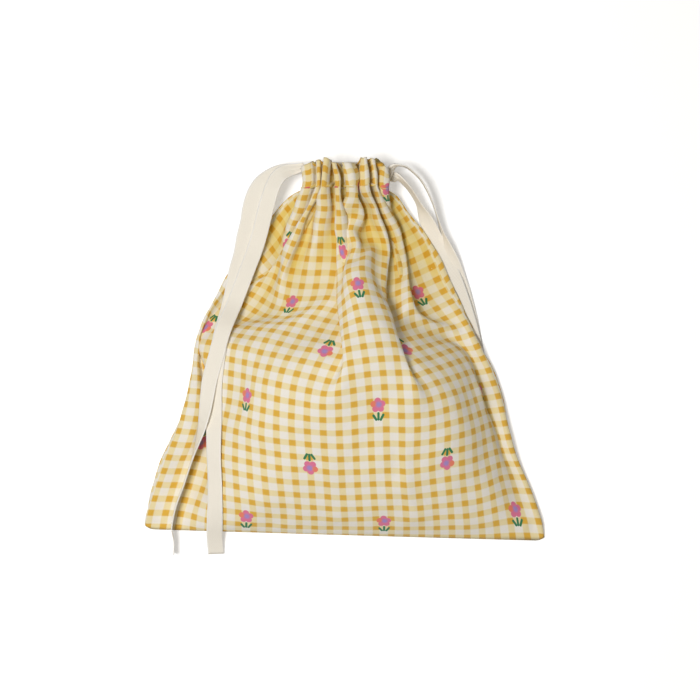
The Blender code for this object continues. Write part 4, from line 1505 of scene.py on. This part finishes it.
def place_group(tree, group, **values):
    """Puts a group into a tree; the names' underscores stand for spaces."""
    node = tree.nodes.new("ShaderNodeGroup")
    node.node_tree = group
    for name, value in values.items():
        fill_socket(tree, node.inputs[name.replace("_", " ")], value)
    return node.outputs


VECTOR = "NodeSocketVector"
NUMBER = "NodeSocketFloat"
COLOUR = "NodeSocketColor"
print("a middle grey of the screen is", round(screen_colour(128, 128, 128)[0], 3), "in linear light")

# %% [markdown]
# ## Woven threads
#
# In a plain weave each thread goes over one and under the next. The product of two sines, one
# across and one along, has just that checkerboard of rises and dips. Real threads are also
# spun unevenly, so streaks along both directions vary their shade.

# %% The weave group
STREAKS_BESIDE, STREAKS_ALONG = 2200, 90  # per metre, beside each other and end to end


def build_weave():
    """Height = sin(pi u / pitch) * sin(pi v / pitch); shade = two crossed sets of streaks."""
    inputs = [("Place", VECTOR, None), ("Pitch", NUMBER, 0.0005)]
    tree, entry, leave = new_group("woven threads", inputs, [("Height", NUMBER), ("Shade", NUMBER)])
    parts = tree.nodes.new("ShaderNodeSeparateXYZ")
    tree.links.new(entry["Place"], parts.inputs[0])
    waves = []
    for part in parts.outputs[:2]:
        turns = calc(tree, "DIVIDE", part, entry["Pitch"])
        waves.append(calc(tree, "SINE", calc(tree, "MULTIPLY", turns, math.pi)))
    tree.links.new(calc(tree, "MULTIPLY", *waves), leave["Height"])
    along = stretched(tree, entry["Place"], (STREAKS_BESIDE, STREAKS_ALONG, 1))
    across = stretched(tree, entry["Place"], (STREAKS_ALONG, STREAKS_BESIDE, 1))
    along = speckle(tree, along, scale=1.0)
    across = speckle(tree, across, scale=1.0)
    tree.links.new(calc(tree, "MULTIPLY", calc(tree, "ADD", along, across), 0.5), leave["Shade"])
    return tree


woven_threads = build_weave()
print(woven_threads.name, "has", len(woven_threads.nodes), "nodes")

# %% [markdown]
# ## The gingham
#
# Printed gingham has pale stripes both ways, and where two cross the colour is full. So it
# needs only two stripe masks: either one gives the half tone, both together the mustard.

# %% The check's sizes and colours
CHECK_ACROSS = 9.35 * MM
CHECK_UP = 8.4 * MM
STRIPE_SHARE = 0.44
FIRST_COLUMN = 3.9 * MM  # middle of the first stripe, from the left seam
FIRST_ROW = 1.6 * MM  # and from the bottom fold
PRINT_EDGE = 0.42 * MM
PRINT_GRAIN = 1400  # per metre: the printed edge follows the grain of the cloth,
PRINT_SHIFT = 0.35 * MM  # by up to half of this
PAPER_WHITE = screen_colour(243, 238, 229)
HALF_TONE = screen_colour(240, 224, 176)
MUSTARD = screen_colour(226, 178, 68)


def stripe(tree, place, period, middle):
    """1 within half a stripe of its middle, with a soft printed edge."""
    turns = calc(tree, "DIVIDE", calc(tree, "SUBTRACT", place, middle - period / 2), period)
    off = calc(tree, "ABSOLUTE", calc(tree, "SUBTRACT", calc(tree, "FRACT", turns), 0.5))
    distance = calc(tree, "MULTIPLY", off, period)
    half = STRIPE_SHARE * period / 2
    return fade(tree, distance, half - PRINT_EDGE, half + PRINT_EDGE)


def build_gingham():
    """White, half tone on one stripe, mustard where two stripes cross."""
    tree, entry, leave = new_group("gingham", [("Place", VECTOR, None)], [("Color", COLOUR)])
    grain = speckle(tree, entry["Place"], scale=PRINT_GRAIN)
    shift = calc(tree, "MULTIPLY", calc(tree, "SUBTRACT", grain, 0.5), PRINT_SHIFT)
    parts = tree.nodes.new("ShaderNodeSeparateXYZ")
    tree.links.new(entry["Place"], parts.inputs[0])
    columns = stripe(tree, calc(tree, "ADD", parts.outputs[0], shift), CHECK_ACROSS, FIRST_COLUMN)
    rows = stripe(tree, calc(tree, "ADD", parts.outputs[1], shift), CHECK_UP, FIRST_ROW)
    either = calc(tree, "MAXIMUM", columns, rows)
    both = calc(tree, "MULTIPLY", columns, rows)
    pale = blend_colours(tree, either, PAPER_WHITE, HALF_TONE)
    tree.links.new(blend_colours(tree, both, pale, MUSTARD), leave["Color"])
    return tree


gingham = build_gingham()
print(gingham.name, "has", len(gingham.nodes), "nodes")

# %% [markdown]
# ## The flowers
#
# Small flowers stand every nine checks, in two sets: one upright, one turned upside down and
# half a step on, so the print looks the same from both ends of the cloth. Five round petals
# come from folding the angle round the middle five times; the three leaves are short strokes.

# %% The flower's sizes and colours
FLOWER_ACROSS = 9 * CHECK_ACROSS
FLOWER_UP = 9 * CHECK_UP
PETAL_OUT = 2.65 * MM
PETAL_RADIUS = 1.95 * MM
EYE_RADIUS = 2.1 * MM
EYE_OFF = (0.5 * MM, 0.3 * MM)  # the eye's tone isn't quite in the middle
EYE_FADE = (0.35, 1.25)  # shares of its radius between which the tone fades
CORAL_FADE = 0.25  # radians
LEAF_RADIUS = 0.72 * MM
LEAVES = [((-2.9, -6.0), (-1.3, -8.5)), ((0.1, -4.9), (0.0, -8.4)), ((3.0, -5.8), (1.4, -8.6))]
PETAL_PINK = screen_colour(226, 120, 156)
PETAL_CORAL = screen_colour(238, 132, 106)
EYE_LAVENDER = screen_colour(168, 142, 204)
LEAF_GREEN = screen_colour(44, 124, 84)
SOFT = 0.14 * MM


def centred(tree, place, start, step, turned):
    """Distance from the nearest flower's middle, turned round in the upside-down set."""
    shifted = calc(tree, "ADD", calc(tree, "SUBTRACT", place, start), step / 2)
    near = calc(tree, "SUBTRACT", calc(tree, "FLOORED_MODULO", shifted, step), step / 2)
    return calc(tree, "MULTIPLY", near, turned)


def leaf(tree, x, y, start, end):
    """1 within the leaf's radius of the stroke from start to end, given in millimetres."""
    ax, ay = (part * MM for part in start)
    bx, by = ((e - s) * MM for s, e in zip(start, end))
    from_x = calc(tree, "SUBTRACT", x, ax)
    from_y = calc(tree, "SUBTRACT", y, ay)
    size = bx * bx + by * by
    share_x = calc(tree, "MULTIPLY", from_x, bx / size)
    share_y = calc(tree, "MULTIPLY", from_y, by / size)
    dot = calc(tree, "ADD", share_x, share_y)
    t = calc(tree, "MINIMUM", calc(tree, "MAXIMUM", dot, 0.0), 1.0)
    off_x = calc(tree, "SUBTRACT", from_x, calc(tree, "MULTIPLY", t, bx))
    off_y = calc(tree, "SUBTRACT", from_y, calc(tree, "MULTIPLY", t, by))
    far = length_of(tree, off_x, off_y)
    return fade(tree, far, LEAF_RADIUS - SOFT, LEAF_RADIUS + SOFT)


def length_of(tree, x, y):
    """The square root of x^2 + y^2."""
    squares = [calc(tree, "MULTIPLY", part, part) for part in (x, y)]
    return calc(tree, "SQRT", calc(tree, "ADD", *squares))


def build_flowers():
    """Draws one set of flowers over a colour."""
    inputs = [
        ("Place", VECTOR, None), ("Ground", COLOUR, None), ("Across", NUMBER, 0.0),
        ("Up", NUMBER, 0.0), ("Turned", NUMBER, 1.0),
    ]
    tree, entry, leave = new_group("small flowers", inputs, [("Color", COLOUR)])
    parts = tree.nodes.new("ShaderNodeSeparateXYZ")
    tree.links.new(entry["Place"], parts.inputs[0])
    x = centred(tree, parts.outputs[0], entry["Across"], FLOWER_ACROSS, entry["Turned"])
    y = centred(tree, parts.outputs[1], entry["Up"], FLOWER_UP, entry["Turned"])
    far = length_of(tree, x, y)
    angle = calc(tree, "ARCTAN2", x, y)
    fifth = 2 * math.pi / 5
    into_fifth = calc(tree, "FLOORED_MODULO", calc(tree, "ADD", angle, fifth / 2), fifth)
    folded = calc(tree, "SUBTRACT", into_fifth, fifth / 2)
    along = calc(tree, "MULTIPLY", far, calc(tree, "COSINE", folded))
    along = calc(tree, "SUBTRACT", along, PETAL_OUT)
    beside = calc(tree, "MULTIPLY", far, calc(tree, "SINE", folded))
    petal = fade(tree, length_of(tree, along, beside), PETAL_RADIUS - SOFT, PETAL_RADIUS + SOFT)
    middle = fade(tree, far, EYE_RADIUS - SOFT, EYE_RADIUS + SOFT)
    flower = calc(tree, "MAXIMUM", petal, middle)
    off_coral = calc(tree, "ABSOLUTE", calc(tree, "ADD", angle, fifth))
    coral = fade(tree, off_coral, fifth / 2 - CORAL_FADE, fifth / 2 + CORAL_FADE)
    from_eye = [calc(tree, "SUBTRACT", part, off) for part, off in zip((x, y), EYE_OFF)]
    eye = fade(tree, length_of(tree, *from_eye), *(share * EYE_RADIUS for share in EYE_FADE))
    petals = blend_colours(tree, coral, PETAL_PINK, PETAL_CORAL)
    petals = blend_colours(tree, eye, petals, EYE_LAVENDER)
    colour = blend_colours(tree, flower, entry["Ground"], petals)
    strokes = [leaf(tree, x, y, start, end) for start, end in LEAVES]
    leaves = calc(tree, "MAXIMUM", calc(tree, "MAXIMUM", strokes[0], strokes[1]), strokes[2])
    tree.links.new(blend_colours(tree, leaves, colour, LEAF_GREEN), leave["Color"])
    return tree


small_flowers = build_flowers()
print(small_flowers.name, "has", len(small_flowers.nodes), "nodes")

# %% [markdown]
# ## The cotton, the ribbon and the thread
#
# All three are matt. The cotton is a thin plain weave with a faint fuzz, which is what a
# shader's sheen is for. The ribbon is thicker and has a brighter woven edge. Bump carries the
# threads, which are far too fine for the mesh.

# %% The materials
FIRST_FLOWER = (64.8 * MM, 16.0 * MM)
COTTON_THREAD = 0.5 * MM
RIBBON_THREAD = 0.6 * MM
SELVEDGE_FADE = (4.1 * MM, 4.5 * MM)  # from the ribbon's middle line
SELVEDGE_CREAM = screen_colour(253, 250, 243)
TAPE_CREAM = screen_colour(247, 241, 228)
THREAD_CREAM = screen_colour(232, 216, 172)
BETWEEN_THREADS = (0.25, 0.17, 0.08, 1)
PAINTED_SHADE_COLOUR = (0.88, 0.77, 0.36, 1)  # painted shade: what bounced light leaves of the colour in a deep fold


def new_material(name, roughness, sheen):
    """An empty material with a matt shader, and the piece's place on its flat cloth."""
    material = bpy.data.materials.new(name)
    material.use_nodes = True
    tree = material.node_tree
    shader = tree.nodes["Principled BSDF"]
    shader.inputs["Roughness"].default_value = roughness
    shader.inputs["Specular IOR Level"].default_value = 0.25
    shader.inputs["Sheen Weight"].default_value = sheen
    shader.inputs["Sheen Roughness"].default_value = 0.6
    place = tree.nodes.new("ShaderNodeUVMap")
    place.uv_map = "cloth"
    return material, tree, shader, place.outputs["UV"]


def raise_bump(tree, height, distance, strength, under=None):
    """A Bump node on a height."""
    bump = tree.nodes.new("ShaderNodeBump")
    bump.inputs["Strength"].default_value = strength
    bump.inputs["Distance"].default_value = distance
    tree.links.new(height, bump.inputs["Height"])
    if under is not None:
        tree.links.new(under, bump.inputs["Normal"])
    return bump.outputs["Normal"]


def shaded(tree, colour, value, depth):
    """A colour made darker by depth where the value is low."""
    share = calc(tree, "MULTIPLY", calc(tree, "SUBTRACT", 1.0, value), depth)
    return blend_colours(tree, share, colour, BETWEEN_THREADS)


def build_cotton():
    """Gingham, two sets of flowers, uneven threads, painted fold shade, weave and a soft crumple."""
    material, tree, shader, place = new_material("printed_cotton", roughness=0.88, sheen=0.12)
    colour = place_group(tree, gingham, Place=place)["Color"]
    across, up = FIRST_FLOWER
    colour = place_group(
        tree, small_flowers, Place=place, Ground=colour, Across=across, Up=up, Turned=1.0
    )["Color"]
    colour = place_group(
        tree, small_flowers, Place=place, Ground=colour,
        Across=across + FLOWER_ACROSS / 2, Up=up + FLOWER_UP / 2, Turned=-1.0,
    )["Color"]
    threads = place_group(tree, woven_threads, Place=place, Pitch=COTTON_THREAD)
    colour = shaded(tree, colour, threads["Shade"], depth=0.10)
    # Painted shade: the colour is multiplied darker and yellower in folds and towards the gathers
    painted_shade = tree.nodes.new("ShaderNodeAttribute")
    painted_shade.attribute_name = "painted_fold_shade"
    colour = blend_colours(tree, painted_shade.outputs["Fac"], colour, PAINTED_SHADE_COLOUR, kind="MULTIPLY")
    tree.links.new(colour, shader.inputs["Base Color"])
    crumple = speckle(tree, place, scale=75, detail=3)
    crumple = raise_bump(tree, crumple, distance=1.6 * MM, strength=0.5)
    normal = raise_bump(tree, threads["Height"], distance=0.06 * MM, strength=0.6, under=crumple)
    tree.links.new(normal, shader.inputs["Normal"])
    return material


def build_ribbon():
    """Cream tape: ribs from a coarser weave, brighter selvedges, a faint crumple."""
    material, tree, shader, place = new_material("cream_ribbon", roughness=0.75, sheen=0.1)
    parts = tree.nodes.new("ShaderNodeSeparateXYZ")
    tree.links.new(place, parts.inputs[0])
    inside = fade(tree, calc(tree, "ABSOLUTE", parts.outputs[0]), *SELVEDGE_FADE)
    colour = blend_colours(tree, inside, SELVEDGE_CREAM, TAPE_CREAM)
    threads = place_group(tree, woven_threads, Place=place, Pitch=RIBBON_THREAD)
    colour = shaded(tree, colour, threads["Shade"], depth=0.08)
    tree.links.new(colour, shader.inputs["Base Color"])
    crumple = speckle(tree, place, scale=60)
    crumple = raise_bump(tree, crumple, distance=0.8 * MM, strength=0.4)
    normal = raise_bump(tree, threads["Height"], distance=0.1 * MM, strength=0.7, under=crumple)
    tree.links.new(normal, shader.inputs["Normal"])
    return material


def build_thread():
    """Cream sewing thread, speckled finely by its place on the pouch, since it has no UV."""
    material, tree, shader, _ = new_material("sewing_thread", roughness=0.7, sheen=0.0)
    where = tree.nodes.new("ShaderNodeTexCoord").outputs["Object"]
    colour = shaded(tree, THREAD_CREAM, speckle(tree, where, scale=3000), depth=0.25)
    tree.links.new(colour, shader.inputs["Base Color"])
    return material


pouch.data.materials.append(build_cotton())
tape = build_ribbon()
for ribbon in ribbons.values():
    ribbon.data.materials.append(tape)
stitches.data.materials.append(build_thread())
print("materials:", [material.name for material in bpy.data.materials])

# %% [markdown]
# ## Floor and light
#
# One key light stands high over the pouch, a little to its left, so the right flank and the
# hollows between the pleats are in soft shade. An even fill comes from all round. It is a
# little warm, as light is that has bounced off yellow cloth. The floor is near white, and
# glows a little where it is looked at, so it reads as white paper and still keeps the shadow.

# %% Stage
FLOOR_REACH = 3
FLOOR_GLOW = 0.34
FILL_LIGHT = 0.23
FILL_COLOUR = (1.0, 0.93, 0.82, 1)
WHITE = (1, 1, 1, 1)
KEY_PLACE = (-0.35, -0.03, 1.2)
KEY_SIZE = 0.32
KEY_POWER = 10.85


def looked_at(tree):
    """1 where the camera looks, also in a reflection or through something clear, else 0."""
    path = tree.nodes.new("ShaderNodeLightPath").outputs
    some = calc(tree, "MAXIMUM", path["Is Camera Ray"], path["Is Glossy Ray"])
    return calc(tree, "MAXIMUM", some, path["Is Transmission Ray"])


def build_floor():
    """A pale floor that keeps the shadow."""
    mesh = bpy.data.meshes.new("floor")
    corners = [(-FLOOR_REACH, -FLOOR_REACH, 0), (FLOOR_REACH, -FLOOR_REACH, 0)]
    corners += [(FLOOR_REACH, FLOOR_REACH, 0), (-FLOOR_REACH, FLOOR_REACH, 0)]
    mesh.from_pydata(corners, [], [(0, 1, 2, 3)])
    floor = add_object("floor", mesh)
    material = bpy.data.materials.new("floor")
    material.use_nodes = True
    tree = material.node_tree
    shader = tree.nodes["Principled BSDF"]
    shader.inputs["Base Color"].default_value = (0.9, 0.9, 0.9, 1)
    shader.inputs["Roughness"].default_value = 1.0
    shader.inputs["Specular IOR Level"].default_value = 0.0
    shader.inputs["Emission Color"].default_value = WHITE
    glow = calc(tree, "MULTIPLY", looked_at(tree), FLOOR_GLOW)
    tree.links.new(glow, shader.inputs["Emission Strength"])
    mesh.materials.append(material)
    return floor


def build_world():
    """An even warm fill, which is plain white where the camera looks at it."""
    world = bpy.data.worlds.new("studio")
    bpy.context.scene.world = world
    world.use_nodes = True
    tree = world.node_tree
    seen = looked_at(tree)
    strength = calc(tree, "ADD", calc(tree, "MULTIPLY", seen, 1 - FILL_LIGHT), FILL_LIGHT)
    background = tree.nodes["Background"]
    tree.links.new(blend_colours(tree, seen, FILL_COLOUR, WHITE), background.inputs["Color"])
    tree.links.new(strength, background.inputs["Strength"])


def add_lamp(name, place, size, power):
    """A square area light that points at the pouch."""
    lamp = bpy.data.lights.new(name, "AREA")
    lamp.size = size
    lamp.energy = power
    holder = add_object(name, lamp)
    holder.location = place
    holder.rotation_euler = (-Vector(place)).to_track_quat("-Z", "Y").to_euler()


floor = build_floor()
build_world()
add_lamp("key", KEY_PLACE, KEY_SIZE, KEY_POWER)
bpy.context.scene.view_settings.view_transform = "Standard"
key_angle = math.degrees(math.atan2(KEY_PLACE[2], math.hypot(*KEY_PLACE[:2])))
print("the key light stands", round(key_angle), "degrees up")

# %% [markdown]
# ## What stands for what
#
# Each new piece rides on the model's one body and replaces the plain solid that it stands
# for, which is hidden. Each tail's length is worked out from its route.

# %% Attaching the pieces
TAILS = ("left_front_tail", "left_back_tail", "right_front_tail", "right_back_tail")

pieces = [(pouch, "pouch_cloth", "printed_cotton"), (stitches, "pouch_cloth", "printed_cotton")]
for name, ribbon in ribbons.items():
    pieces.append((ribbon, name.split("_")[0] + "_drawstring", "cream_ribbon"))
for piece, node, slot in pieces:
    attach(piece, "root")
    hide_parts(node)
for name in TAILS:
    route = routes[name]
    length = float(np.linalg.norm(np.diff(route, axis=0), axis=1).sum())
    print(name, "declared as", round(length, 3), "m")
